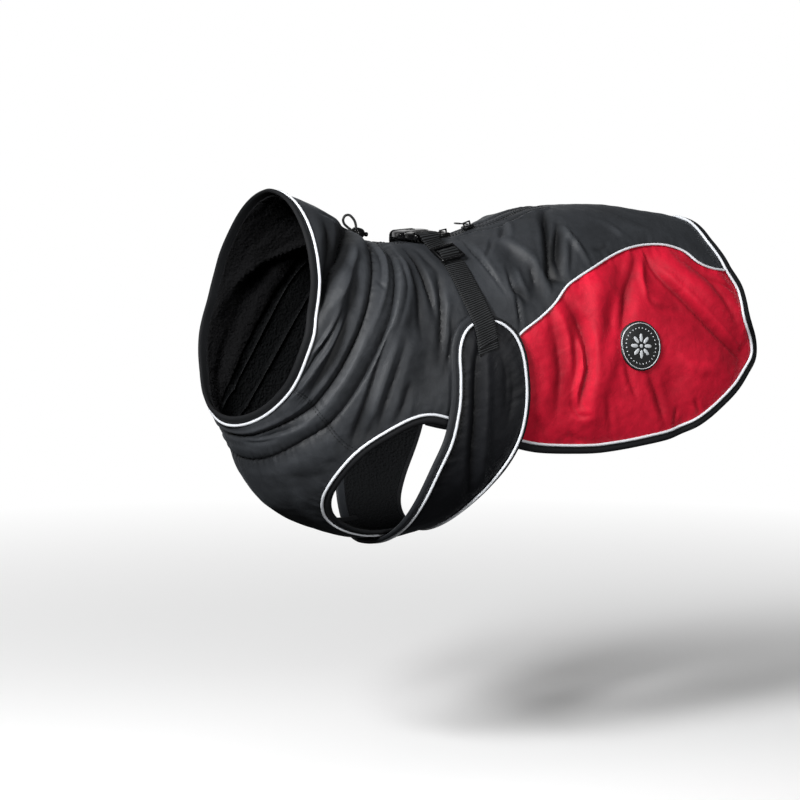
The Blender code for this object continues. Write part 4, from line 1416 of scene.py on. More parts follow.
def set_down(
    piece: Piece,
    matrix: Matrix,
    finish: Finish,
    node: str,
    angle: float = 35.0,
    body: Body = Body.COAT,
) -> Piece:
    """Moves a hard piece's mesh to its place, shades it and dresses it.

    Args:
        piece: The piece, modelled about the origin. Its object stays there.
        matrix: Its place.
        finish: Its finish.
        node: The solid that it replaces.
        angle: The angle in degrees up to which it is shaded smooth.
        body: The body that it rides on.

    Returns:
        The piece.
    """
    piece.data.transform(matrix)
    piece.data.update()
    shade(piece, angle)
    return dress(piece, finish, node, body=body)


# ---------------------------------------------------------------- cloth panels


@dataclass
class Panel:
    """A cut piece of cloth on the figure."""

    name: str
    rows: Array
    cloth: Cloth
    finish: Finish = CHARCOAL
    inside: Finish = BACKING

    def build(self) -> Piece:
        """The panel as a fine shell, with the size that it was cut to logged."""
        rows = trimmed(self.rows)
        outer, inner, raised = self.cloth.faces(rows)
        piece = slab(self.name, outer, inner, rows * (1, MM_PER_DEGREE), raised)
        dress(piece, self.finish, self.name, inside=self.inside)
        self.declare()
        return piece

    def declare(self) -> None:
        """Logs the size that this panel was cut to."""
        width, length, area = self.flat()
        log.info("%s is cut %.0f by %.0f mm, %.4f square metres", self.name, width / MM, length / MM, area)

    def flat(self) -> tuple[float, float, float]:
        """The cut's width, length and area, measured on the smooth figure."""
        points = FIGURE.cloth(self.rows, self.cloth.lift + self.cloth.wall / 2)
        across = np.linalg.norm(np.diff(points, axis=1), axis=2).sum(1).max()
        down = np.linalg.norm(np.diff(points, axis=0), axis=2).sum(0).max()
        one, two = points[1:, 1:] - points[:-1, :-1], points[1:, :-1] - points[:-1, 1:]
        area = np.linalg.norm(np.cross(one, two), axis=2).sum() / 2
        return float(across), float(down), float(area)


def stitches(
    name: str,
    line: Array,
    place: Callable[[Array, float], Array],
    pitch: float = 3.3,
    length: float = 2.4,
    radius: float = 0.36,
) -> Piece:
    """A row of stitches along a line of stations.

    Args:
        name: The row's name.
        line: The stations that the row follows.
        place: Gives the cloth's points, in metres, for stations and a height in millimetres.
        pitch: From one stitch to the next.
        length: Of the thread that shows.
        radius: Of the thread.

    Returns:
        The row as one object.
    """
    points = place(line, 0.05)
    lengths = lengths_along(points) / MM
    count = max(int(lengths[-1] / pitch), 2)
    middles = (np.arange(count) + 0.5) * lengths[-1] / count
    start, end = (read_at(middles + step, lengths, points) for step in (-0.8, 0.8))
    ahead = unit(end - start)
    outward = FIGURE.axes(read_at(middles, lengths, line[:, :2]))[2]
    across = unit(np.cross(outward, ahead))
    thick, centre = radius * MM, read_at(middles, lengths, points)
    frames = frames_of(ahead * (length / 2) * MM, across * thick, np.cross(ahead, across) * thick, centre)
    select_nothing()
    bpy.ops.mesh.primitive_uv_sphere_add(segments=6, ring_count=4, radius=1.0)
    base = bpy.context.object
    place_corners(base, corners(base)[:, [2, 0, 1]])
    return dress(copies(name, base, frames), THREAD)


@dataclass(frozen=True)
class EdgeLine:
    """A finished edge: binding beside a line of stations, with piping on the line."""

    line: Array
    lift: float = 0.0
    piping_radius: float = 1.3
    closed: bool = False  # whether the line's two ends meet

    def frames(self, line: Array | None = None) -> tuple[Array, Array, Array]:
        """Points at the cloth's inner face, and unit vectors outwards and to the line's left.

        Args:
            line: Other stations than the edge itself.

        Returns:
            The three, one row for each station.
        """
        line = self.line if line is None else line
        points = FIGURE.cloth(line, self.lift)
        ahead = unit(np.gradient(points, axis=0))
        if self.closed:
            ahead[[0, -1]] = unit(points[1] - points[-2])
        outward = FIGURE.axes(line)[2]
        return points, outward, unit(np.cross(ahead, outward))

    def binding(self, node: str, width: float, flare: float = 0.0, finish: Finish = BINDING) -> None:
        """Folded tape over the cloth's edge: a soft roll with a stitched groove beside the piping.

        Args:
            node: The solid that it replaces.
            width: How far it reaches to the line's left, or to its right if it is negative.
            flare: How far its free edge stands outwards.
            finish: Its finish.
        """
        points, outward, across = self.frames()
        reach = abs(width)
        out, up = np.array(
            [
                (0.4, 0.0), (0.4, 2.0), (1.0, 2.9), (0.3 * reach, 2.6), (0.42 * reach, 3.3),
                (0.6 * reach, 3.6), (0.8 * reach, 3.2), (reach - 0.5, 2.4), (reach, 1.2),
                (reach - 0.5, 0.3), (0.8 * reach, -0.2), (0.55 * reach, -0.15),
            ]
        ).T[:, None, :, None]
        up = up + flare * np.clip(out / reach, 0, 1)
        uneven = 0.14 * waves(points / MM, 24, 11)[:, None, None] * (up > 1.5)
        rings = (
            points[:, None]
            + across[:, None] * (out * math.copysign(1.0, width)) * MM
            + outward[:, None] * (up + uneven) * MM
        )
        dress(tube(node, rings), finish, node)

    def piping(
        self, node: str, line: Array | None = None, tucked: tuple[bool, bool] = (False, False)
    ) -> None:
        """Reflective piping, half sunk in the seam.

        Args:
            node: The solid that it replaces.
            line: Its own stations, if it is shorter than the edge.
            tucked: Whether its start and its end are thinned, to go under something.
        """
        points, outward, across = self.frames(line)
        sway = waves(points / MM, 30, 12)[:, None, None] * 0.12
        place = lengths_along(points) / MM
        full = np.ones(len(place))
        for tuck, away in zip(tucked, (place, place[-1] - place)):
            if tuck:
                full = np.minimum(full, 0.45 + 0.55 * np.clip(away / 9, 0, 1) ** 2)
        full = full[:, None, None]
        centre = points[:, None] + outward[:, None] * (WALL + 0.55 * full + sway) * MM
        rings = centre + self.piping_radius * full * MM * rims(across, outward, 12)
        dress(tube(node, rings, angle=70), PIPING, node)


@dataclass
class CoatCut:
    """The whole cut: its edges as fine stations, and the layers of cloth that lie on them."""

    def __post_init__(self) -> None:
        """Works out the shared edges and the cloth of each layer."""
        self.neck = across_belly(edge(*NECK_EDGE_BACK, *NECK_EDGE_FRONT))
        self.band_front = across_belly(edge(*BAND_FRONT_BACK, *BAND_FRONT_CHEST))
        self.band_rear = across_belly(edge(*BAND_REAR_BACK, *BAND_REAR_CHEST))
        joined = softened(np.vstack([edge(ARMHOLE_BACK)[::-1], edge(ARMHOLE_CHEST)[1:]]), 1.4)
        corner = ARMHOLE_BACK.cells * FINE
        self.armhole, self.armhole_back, self.armhole_chest = joined, joined[corner::-1], joined[corner:]
        self.shoulder_end = spaced((SHOULDER_SEAM.stations[0], joined[corner]), SHOULDER_SEAM.cells * FINE)
        self.shoulder = np.vstack([spaced(((32, 128), (108, 120), (129, 119)), 40), self.shoulder_end[1:]])
        self.side_seam = softened(edge(SIDE_SEAM), 0.7)
        self.side_hem = softened(edge(SIDE_HEM), 1.3)
        neck = edge(*NECK_EDGE_BACK, *NECK_EDGE_FRONT, fine=COARSE)
        armhole, side = joined[::COARSE], self.side_seam[::COARSE]
        hem = np.vstack([edge(BACK_REAR, SIDE_REAR, fine=COARSE), self.side_hem[::-COARSE]])
        strap = spaced([station[:2] for station in STRAP], 60)
        wing = np.array([(206.0, 62.0), (216.0, 78.0), (224.0, 98.0), (222.0, 130.0)])
        band = (
            Seam(edge(*runs, fine=COARSE), *shape)
            for runs in ((*BAND_FRONT_BACK, *BAND_FRONT_CHEST), (*BAND_REAR_BACK, *BAND_REAR_CHEST))
            for shape in ((2.2, 5.0, 0.12, 9.0, 1.3), (1.7, 1.3, 0.35, 5.0))
        )
        self.body = Cloth(
            seams=[
                *band,
                Seam(self.shoulder, 0.9, 2.6, 0.08),
                Seam(armhole, 1.1, 3.0, 0.18),
                Seam(side, 1.1, 3.5, 0.16, 11.0),
                Seam(neck, 0.9, 3.0, 0.12),
                Seam(hem, 0.9, 3.0, 0.07, 11.0),
            ],
            pressed=[
                Pressed(strap, 13.0, 0.9),
                Pressed(wing, 24.0, 1.6),
                Pressed(armhole, 3.0, 1.3, -1.3),
                Pressed(side, 1.2, 1.6, -2.2),
                Pressed(neck, 2.0, 1.3, -1.5),
                Pressed(hem, 2.0, 1.3, -1.3),
            ],
        )
        belly = [Seam(edge(run, fine=COARSE), 1.2, 3.0, 0.14) for run in (BELLY_FRONT, BELLY_REAR)]
        self.band = Cloth(lift=BAND_LIFT, creases=BAND_CREASES, seams=belly, broad=0.35)

    def hem(self) -> Array:
        """The hem's line, from under the right side panel over the rump to under the left one."""
        over = across_spine(edge(BACK_REAR, SIDE_REAR))
        under = self.side_hem[3 * FINE :]
        return softened(np.vstack([Side.RIGHT.of(under)[:-1], over, under[-2::-1]]), 0.6)


class StrapStation(NamedTuple):
    """A place on the strap's line, with the webbing's lift off the cloth's inner face."""

    along: float
    around: float
    lift: float


STRAP = (
    StrapStation(212, 72.5, 9.2),
    StrapStation(209.3, 68, 9.2),
    StrapStation(204.2, 61, 9.6),
    StrapStation(197, 53, 7.0),
    StrapStation(189, 44, 4.6),
    StrapStation(179.5, 33, 4.4),
    StrapStation(172.6, 25.0, 4.6),
    StrapStation(166.5, 19.0, 5.4),
    StrapStation(162.6, 15.6, 8.4),
    StrapStation(161.0, 13.8, 12.2),
    StrapStation(160.2, 12.2, 13.4),
    StrapStation(159.6, 10.6, 13.2),
    StrapStation(159.2, 9.4, 11.6),
    StrapStation(159.0, 9.0, 9.6),
)


@dataclass
class Collar:
    """The stand collar, its fleece lining, its bound neck edge and the drawcord's band below it."""

    cut: CoatCut
    cells: int = 7

    def build(self) -> None:
        """Builds the collar, lining, neck band and neck edge."""
        halves = (
            ("collar_back", across_spine, NECK_EDGE_BACK, BAND_FRONT_BACK),
            ("collar_front", across_belly, NECK_EDGE_FRONT, BAND_FRONT_CHEST),
        )
        for name, across, neck_runs, seam_runs in halves:
            neck, seam = across(edge(*neck_runs)), across(edge(*seam_runs))
            left = spaced((neck[0], seam[0]), self.cells * FINE)
            right = spaced((neck[-1], seam[-1]), self.cells * FINE)
            rows = patch_between(left, right, neck, seam)
            Panel(name, rows, self.cut.body).build()
            self.lining(f"{name}_lining", trimmed(rows)[::2, :-FINE:2])
        cells = 2 * FINE
        front, rear = self.cut.band_front, self.cut.band_rear
        ends = (spaced((front[end], rear[end]), cells) for end in (0, -1))
        Panel("neck_band", patch_between(front, rear, *ends), self.cut.body).build()
        self.neck_edge()
        self.stitching()

    def lining(self, name: str, rows: Array) -> None:
        """The fleece inside the collar, with lumps and loose tufts of nap.

        Args:
            name: The solid that it replaces.
            rows: Its stations.
        """
        relief = self.cut.body.relief(rows)
        sunk = np.minimum(relief + WALL - self.cut.body.least, 0)
        mm = FIGURE.point(rows)
        nap = 0.45 * waves(mm, 8.0, 31) + 0.3 * waves(mm, 5.0, 32)
        outer = FIGURE.cloth(rows, sunk - LINING_GAP)
        inner = FIGURE.cloth(rows, sunk - LINING_GAP - LINING_WALL - 0.4 + nap)
        piece = slab(name, outer, inner, rows * (1, MM_PER_DEGREE))
        dress(piece, FLEECE, name)
        Panel(name, rows, Cloth(lift=-LINING_GAP - LINING_WALL, wall=LINING_WALL)).declare()
        self.tufts(f"{name}_nap", rows, sunk)

    @staticmethod
    def tufts(name: str, rows: Array, sunk: Array) -> None:
        """Loose tufts that stand off the fleece.

        Args:
            name: The piece's name.
            rows: The lining's stations.
            sunk: How far the cloth is pressed inwards at each.
        """
        random = np.random.default_rng(41)
        count = rows.shape[0] * rows.shape[1] * 4 // 5
        row = random.integers(1, rows.shape[0] - 1, count)
        column = random.integers(1, rows.shape[1] - 1, count)
        stations = rows[row, column] + random.normal(size=(count, 2)) * (0.8, 0.6)
        roots = FIGURE.cloth(stations, sunk[row, column] - LINING_GAP - LINING_WALL)
        tailward, roundward, outward = FIGURE.axes(stations)
        lean = random.normal(size=(count, 2)) * 0.7
        tip = unit(-outward + tailward * (lean[:, :1] + 0.3) + roundward * lean[:, 1:])
        side = unit(np.cross(tip, random.normal(size=(count, 3))))
        thick, tall = 0.28 * MM, 2.6 * MM * random.uniform(0.7, 1.25, (count, 1))
        frames = frames_of(side * thick, np.cross(tip, side) * thick, tip * tall, roots)
        select_nothing()
        bpy.ops.mesh.primitive_cone_add(
            vertices=3, radius1=1.0, radius2=0.35, depth=1.0, location=(0, 0, 0.5)
        )
        base = bpy.context.object
        bpy.ops.object.transform_apply()
        dress(copies(name, base, frames), FLEECE)

    def neck_edge(self) -> None:
        """Binding and piping round the neck opening."""
        line = self.cut.neck.copy()
        line[0], line[-1] = line[0] + (0, 0.01), line[-1] - (0, 0.01)
        neck = EdgeLine(line, closed=True)
        neck.binding("neck_binding", 8.0)
        neck.piping("neck_piping")
        stitches("neck_stitches", beside(line, -2.4), self.cut.body.outer)

    def stitching(self) -> None:
        """Rows of stitches on the band's two seams and on the shoulder seams."""
        stitches("band_front_stitches", self.cut.band_front, self.cut.body.outer)
        stitches("band_rear_stitches", self.cut.band_rear, self.cut.body.outer)
        for side in Side:
            for row, offset in (("fore", -1.1), ("aft", 1.1)):
                line = beside(side.of(self.cut.shoulder), offset)
                stitches(f"shoulder_stitches_{row}_{side.word}", line, self.cut.body.outer)


@dataclass
class Trunk:
    """The back, red side panels, bib and their edges."""

    cut: CoatCut
    binding_width: float = 8.4

    def build(self) -> None:
        """Builds the panels of the trunk and their edges."""
        self.back()
        self.sides()
        self.bib()
        self.edges()

    def back(self) -> None:
        """Left and right back panels, which meet over the zip and run on into one seam behind it."""
        middle = edge(ZIP_LINE)
        part = ZIP_GAP * np.clip((ZIP_END + 8 - middle[:, 0]) / 8, 0, 1)
        lower = np.vstack([self.cut.shoulder_end, self.cut.armhole_back[1:], self.cut.side_seam[1:]])
        zipped = middle[middle[:, 0] < ZIP_END + 24]
        placket = [Seam(zipped, 0.8, 1.6, 0.05)]
        placket += [Seam(beside(zipped, offset), depth, 1.3, 0.1) for offset, depth in PLACKET_LINES]
        cloth = Cloth(seams=self.cut.body.seams, zip_seams=placket, pressed=self.cut.body.pressed)
        for side in Side:
            upper = middle * (1, side.value) + np.column_stack([0 * part, part])
            front = np.vstack([upper[:1], edge(*BAND_REAR_BACK)[1:]])
            rows = patch_between(front, edge(BACK_REAR), upper, lower)
            Panel(f"back_{side.word}", side.of(rows), cloth).build()
            for row, offset in (("inner", 2.8), ("outer", 9.0)):
                line = beside(zipped, side.value * offset)
                stitches(f"zip_stitches_{row}_{side.word}", line, cloth.outer)

    def sides(self) -> None:
        """The red panel on each flank."""
        rows = patch_between(edge(*SIDE_FRONT), edge(SIDE_REAR), self.cut.side_seam, self.cut.side_hem)
        for side in Side:
            Panel(f"side_{side.word}", side.of(rows), self.cut.body, RED).build()

    def bib(self) -> None:
        """The chest piece, from the neck band to between the armholes."""
        front = across_belly(edge(*BAND_REAR_CHEST))
        left = np.vstack([self.cut.shoulder_end, self.cut.armhole_chest[1:]])
        right = mirrored_below(left)
        rear = spaced((left[-1], (206, 180), right[-1]), len(front) - 1)
        Panel("chest_bib", patch_between(front, rear, left, right), self.cut.body).build()

    def edges(self) -> None:
        """Binding and piping on the hem, armholes and side seams."""
        width = self.binding_width
        hem = EdgeLine(self.cut.hem())
        hem.binding("hem_binding", -width, flare=1.8)
        hem.piping("hem_piping")
        for side in Side:
            arm = EdgeLine(side.of(self.cut.armhole))
            arm.binding(f"armhole_binding_{side.word}", -side.value * width)
            arm.piping(f"armhole_piping_{side.word}", side.of(self.cut.armhole[1:-1]))
            seam = side.of(self.cut.side_seam[3 * FINE : -2])
            EdgeLine(seam, piping_radius=1.15).piping(f"side_piping_{side.word}")


@dataclass
class BellyBand:
    """The band under the chest, with a round-topped wing up each flank."""

    cut: CoatCut
    binding_width: float = 8.4
    rear_width: float = 4.4

    def build(self) -> None:
        """Builds the band and its edges."""
        front, rear = (across_belly(edge(run)) for run in (BELLY_FRONT, BELLY_REAR))
        top = edge(BELLY_TOP)
        rows = patch_between(top, mirrored_below(top), front, rear)
        # The band takes the darker copy of the charcoal cloth: painted shade.
        Panel("belly_band", rows, self.cut.band, SHADED_CHARCOAL).build()
        half = len(top) // 2
        crown = mirrored_below(top[half:])
        back = EdgeLine(softened(np.vstack([top[half:-1], rear, crown[-2::-1]]), 0.7), BAND_LIFT)
        back.binding("belly_band_rear_binding", -self.rear_width)
        inner = softened(np.vstack([top[half + FINE : -1], rear, crown[-2 : FINE - 1 : -1]]), 0.7)
        back.piping("belly_band_rear_piping", inner, (True, True))
        line = softened(np.vstack([top[half:0:-1], edge(BELLY_FRONT)]), 0.7)
        for side in Side:
            name = f"belly_band_front_{{}}_{side.word}"
            fore = EdgeLine(side.of(line), BAND_LIFT)
            fore.binding(name.format("binding"), side.value * self.binding_width, finish=EDGING)
            fore.piping(name.format("piping"), side.of(line[FINE:]), (True, False))
            stitches(name.format("stitches"), side.of(beside(line[FINE:], -2.6)), self.on_binding)

    def on_binding(self, stations: Array, proud: float) -> Array:
        """Points on the binding beside the band's front edge."""
        return FIGURE.cloth(stations, BAND_LIFT + 2.8 + proud)


# ---------------------------------------------------------------- webbing and hardware


@dataclass
class Straps:
    """The webbing over the back, its slider and the side-release buckle."""

    width: float = 20.6
    wall: float = 1.4
    rib: float = 2.0
    skew: float = 0.22  # how far the weft leans where the webbing is sewn down
    slider_row: int = 6
    slider_turn: float = 16.0
    buckle_at: Station = (159, 0)

    def build(self) -> None:
        """Builds both straps with the slider and buckle."""
        for side in Side:
            self.strap(side)
            self.turned_end(side)
        self.slider()
        self.buckle()

    def webbing(self, node: str, line: Array) -> None:
        """Ribbed webbing along a line.

        Args:
            node: The solid that it replaces.
            line: Stations, and a lift off the cloth's inner face in the third column.
        """
        stations, lift = line[:, :2], line[:, 2]
        points = FIGURE.cloth(stations, lift)
        ahead = unit(np.gradient(points, axis=0))
        outward = FIGURE.axes(stations)[2]
        across = unit(np.cross(ahead, outward))
        normal = unit(np.cross(across, ahead))
        place = lengths_along(points) / MM
        sign = 1.0 if np.mean(stations[:, 1]) > 0 else -1.0
        across = across + ahead * (sign * self.skew * np.clip(1 - place / 70, 0, 1))[:, None]
        columns = np.linspace(-1, 1, 17)
        twill = place[:, None] + columns[None] * 1.2
        rib = 0.20 * np.abs(np.sin(math.pi * twill / self.rib))
        rib = rib * np.where(np.abs(columns) > 0.9, 1.5, 1.0)
        half = self.width / 2 + 0.22 * np.sin(2 * math.pi * place / self.rib)
        side = across[:, None] * (columns[None, :, None] * half[:, None, None])
        thin = np.where(np.abs(columns) > 0.99, 0.55, 1.0)[None, :, None]
        outer = points[:, None] + (side + normal[:, None] * (self.wall * thin + rib[..., None])) * MM
        inner = points[:, None] + (side + normal[:, None] * (0.1 - rib[..., None] * 0.5 + (1 - thin))) * MM
        uv = np.stack(np.broadcast_arrays(place[:, None], columns[None] * self.width / 2), -1)
        dress(slab(node, outer, inner, uv), WEBBING, node)

    def strap(self, side: Side) -> None:
        """One strap, from the belly band's wing up to the buckle; the left one weaves through the slider."""
        table = np.array(STRAP, float)
        if side is Side.LEFT:
            table[:, 2] -= 0.2
            table[0] = (211.0, 70.2, 9.2)
        line = spaced(table, 340)
        if side is Side.LEFT:
            seat_at = np.array([STRAP[self.slider_row][:2]])
            place, middle = (off_line(points, line[:, :2])[1] for points in (line[:, :2], seat_at))
            away = np.abs(place - middle)
            rise = 5.0 * np.clip(1 - (away / 4.9) ** 2, 0, 1) ** 0.7
            dip = -0.5 * np.exp(-(((away - 8.0) / 2.0) ** 2))
            line[:, 2] += rise + dip
        line[:, :2] = side.of(line[:, :2])
        self.webbing(f"strap_{side.word}", line)

    def turned_end(self, side: Side) -> None:
        """The webbing's turned-under end, sewn to the wing."""
        line = spaced(((212.2, 73.3, 8.0), (208.6, 67.0, 8.0)), 26)
        line[:, :2] = side.of(line[:, :2])
        self.webbing(f"strap_end_{side.word}", line)

    def slider_matrix(self) -> Matrix:
        """The slider's frame on the left strap."""
        under = STRAP[self.slider_row]
        lift = under.lift + self.wall + 1.1 + 1.2
        return FIGURE.seat(under.along, under.around, lift, math.radians(self.slider_turn))

    def slider(self) -> None:
        """A three-bar slider: the webbing runs under its outer bars and over its middle one."""
        width, length, wall, bar = 26.0, 20.0, 2.8, 3.2
        slot = (length - 3 * bar) / 2
        body = block("strap_slider", (width, length, wall), (0, 0, -0.5), 1.0)
        for end in (-1, 1):
            slot_at = (0, end * (slot + bar) / 2, 0)
            combine(body, [block("slot", (self.width + 1.4, slot, 9), slot_at, 0.6)], "DIFFERENCE")
        apply(body, "BEVEL", width=0.35 * MM, segments=2, limit_method="ANGLE", angle_limit=0.7)
        ridges = [
            block("ridge", (0.7, bar - 1.0, 0.6), (x, end * (length - bar) / 2, wall / 2 - 0.5), 0.2)
            for x in np.linspace(-8, 8, 9)
            for end in (-1, 1)
        ]
        body = join("strap_slider", [body, *ridges])
        set_down(body, self.slider_matrix(), PLASTIC, "strap_slider")

    @staticmethod
    def moulded_shape(name: str, rows: Sequence[tuple[float, float, float, float]]) -> Piece:
        """A rounded body lofted along Y.

        Args:
            name: The piece's name.
            rows: For each place: y, half width, low and high, in millimetres.

        Returns:
            The piece.
        """
        angles = np.arange(36) * 2 * math.pi / 36
        power = 0.36
        x = np.sign(np.cos(angles)) * np.abs(np.cos(angles)) ** power
        z = np.sign(np.sin(angles)) * np.abs(np.sin(angles)) ** power
        rings = [
            np.column_stack([x * half, np.full(36, y), (low + high) / 2 + z * (high - low) / 2])
            for y, half, low, high in rows
        ]
        return tube(name, np.array(rings) * MM, angle=40)

    def buckle(self) -> None:
        """The fastened buckle: socket on the right, plug on the left."""
        matrix = FIGURE.seat(*self.buckle_at, 4.6, math.pi)
        socket = self.moulded_shape(
            "buckle_socket",
            (
                (-21.5, 11.6, 1.6, 5.4), (-21.2, 12.4, 1.0, 6.2), (-19.5, 13.1, 0.5, 6.9),
                (-14, 13.5, 0.1, 7.6), (-6, 13.5, 0.0, 8.0), (1.5, 13.4, 0.0, 8.0), (3.7, 13.1, 0.3, 7.7),
                (4.3, 12.6, 0.8, 7.2),
            ),
        )
        cuts = [
            block("mouth", (21.6, 15, 4.6), (0, -2.8, 4), 0.4),
            block("windows", (29, 10.6, 3.6), (0, -6.2, 4), 1.2),
            block("slot", (self.width + 1.4, 4.4, 18), (0, -15.9, 4), 0.8),
        ]
        combine(socket, cuts, "DIFFERENCE")
        grips = [block("grip", (9 - 1.6 * n, 0.8, 0.7), (0, -9.6 + 2.0 * n, 7.95), 0.25) for n in range(3)]
        socket = join("buckle_socket", [socket, *grips])
        set_down(socket, matrix, PLASTIC, "buckle_socket")

        plug = self.moulded_shape(
            "buckle_plug",
            (
                (4.7, 12.4, 0.9, 7.1), (5.0, 12.8, 0.5, 7.5), (11, 13.0, 0.4, 7.5), (16.5, 12.7, 0.5, 7.2),
                (19.6, 11.8, 0.8, 6.5), (21.1, 10.6, 1.3, 5.9), (21.5, 9.8, 1.8, 5.4),
            ),
        )
        combine(plug, [block("slot", (self.width + 1.4, 4.4, 18), (0, 15.8, 4), 0.8)], "DIFFERENCE")
        parts = [block("tongue", (6, 14.5, 2.6), (0, -1.9, 4), 0.6)]
        for sign in (-1, 1):
            parts.append(block("arm", (3.0, 14.5, 2.8), (sign * 8.9, -1.9, 4), 0.6))
            parts.append(block("button", (5.6, 8.6, 3.3), (sign * 11.4, -6.2, 4), 1.2))
        parts += [block("rib", (14, 0.8, 0.6), (0, 7.2 + 1.9 * n, 7.5), 0.25) for n in range(3)]
        plug = join("buckle_plug", [plug, *parts])
        set_down(plug, matrix, PLASTIC, "buckle_plug")


@dataclass
class BackZip:
    """The zip on the spine: tape, chain, and two sliders with hinged pulls."""

    pitch: float = 1.5
    axis_height: float = 1.1
    slider_height: float = 3.4

    def build(self) -> None:
        """Builds the zip."""
        self.tape()
        self.teeth()
        for name, along, rest, body in (
            ("front", 189, 4, Body.PULL_FRONT),
            ("rear", 216, 22, Body.PULL_REAR),
        ):
            self.slider(name, along)
            self.pull(name, along, rest, body)

    def tape(self) -> None:
        """The tape under the cloth and chain."""
        middle = spaced([s for s in ZIP_LINE.stations if s[0] < ZIP_END + 20], 170)
        offsets = np.linspace(-1, 1, 9) * ZIP_HALF_WIDTH * 0.9
        rows = middle[:, None] + np.stack(np.broadcast_arrays(0, offsets), -1)[None]
        height = 0.9 - 0.5 * np.abs(offsets / ZIP_HALF_WIDTH)
        outer, inner = (FIGURE.cloth(rows, height - below) for below in (0, 0.8))
        dress(slab("back_zip", outer, inner, rows * (1, MM_PER_DEGREE)), ZIP_TAPE, "back_zip")

    def teeth(self) -> None:
        """The chain's teeth, from both sides in turn."""
        line = spaced([s for s in ZIP_LINE.stations if s[0] < ZIP_END], 400)
        points = FIGURE.cloth(line, 0.9)
        lengths = lengths_along(points) / MM
        count = int(lengths[-1] / self.pitch)
        places = np.arange(count) * self.pitch + 0.4
        tailward, _, outward = FIGURE.axes(read_at(places, lengths, line))
        side = np.where(np.arange(count) % 2, 1.0, -1.0)[:, None]
        across = unit(np.cross(outward, tailward)) * side
        centre = read_at(places, lengths, points) + across * 0.9 * MM + outward * 0.55 * MM
        frames = frames_of(tailward, across, outward, centre)
        tooth = block("tooth", (1.05, 3.0, 1.3), (0, 0, 0), 0.0)
        apply(tooth, "BEVEL", width=0.3 * MM, segments=1, limit_method="NONE")
        dress(copies("zip_teeth", tooth, frames), TEETH)

    def slider(self, name: str, along: float) -> None:
        """A slider: a waisted block with flanges, under the bridge that holds the pull.

        Args:
            name: Which slider.
            along: Its place on the zip.
        """
        height, low = self.slider_height, self.slider_height + 2 * self.axis_height
        body = block(f"zip_slider_{name}", (10, 8, height), (0, 0, height / 2), 1.0)
        waist = [block("waist", (12, 2.2, 1.1), (0, sign * 4.2, height / 2), 0.3) for sign in (-1, 1)]
        combine(body, waist, "DIFFERENCE")
        bridge = [block("bridge", (7.6, 1.4, 1.3), (0, 0, low + 0.65), 0.35)]
        for sign in (-1, 1):
            tall = low + 0.4 - height / 2
            bridge.append(block("post", (1.3, 1.4, tall), (sign * 3.15, 0, height / 2 + tall / 2), 0.2))
        body = join(f"zip_slider_{name}", [body, *bridge])
        set_down(body, FIGURE.seat(along, 0, WALL + SLIDER_GAP), ZINC, f"zip_slider_{name}")

    def pull(self, name: str, along: float, rest: float, body: Body) -> None:
        """A tapered pull tab with a moulded grip, hung in the bridge.

        Args:
            name: Which pull.
            along: Its slider's place on the zip.
            rest: How far it is raised at rest, in degrees.
            body: The body that it rides on.
        """
        tab = block(f"zip_pull_{name}", (13, 5, 1.2), (-5.9, 0, 0), 0.0)
        points = corners(tab) / MM
        points[:, 1] *= np.where(points[:, 0] < -6, 0.86, 1.0)
        place_corners(tab, points * MM)
        apply(tab, "BEVEL", width=0.45 * MM, segments=3, limit_method="NONE")
        combine(tab, [block("eye", (5.2, 2.6, 4), (-3.2, 0, 0), 0.5)], "DIFFERENCE")
        grip = [
            block("grip", (0.5, 3.0, 0.5), (-11.2 + 1.2 * n, 0, face * 0.55), 0.15)
            for n in range(4)
            for face in (-1, 1)
        ]
        tab = join(f"zip_pull_{name}", [tab, *grip])
        axis = FIGURE.seat(along, 0, WALL + SLIDER_GAP + self.slider_height + self.axis_height)
        set_down(tab, axis @ Matrix.Rotation(math.radians(rest), 4, "Y"), ZINC, f"zip_pull_{name}", body=body)


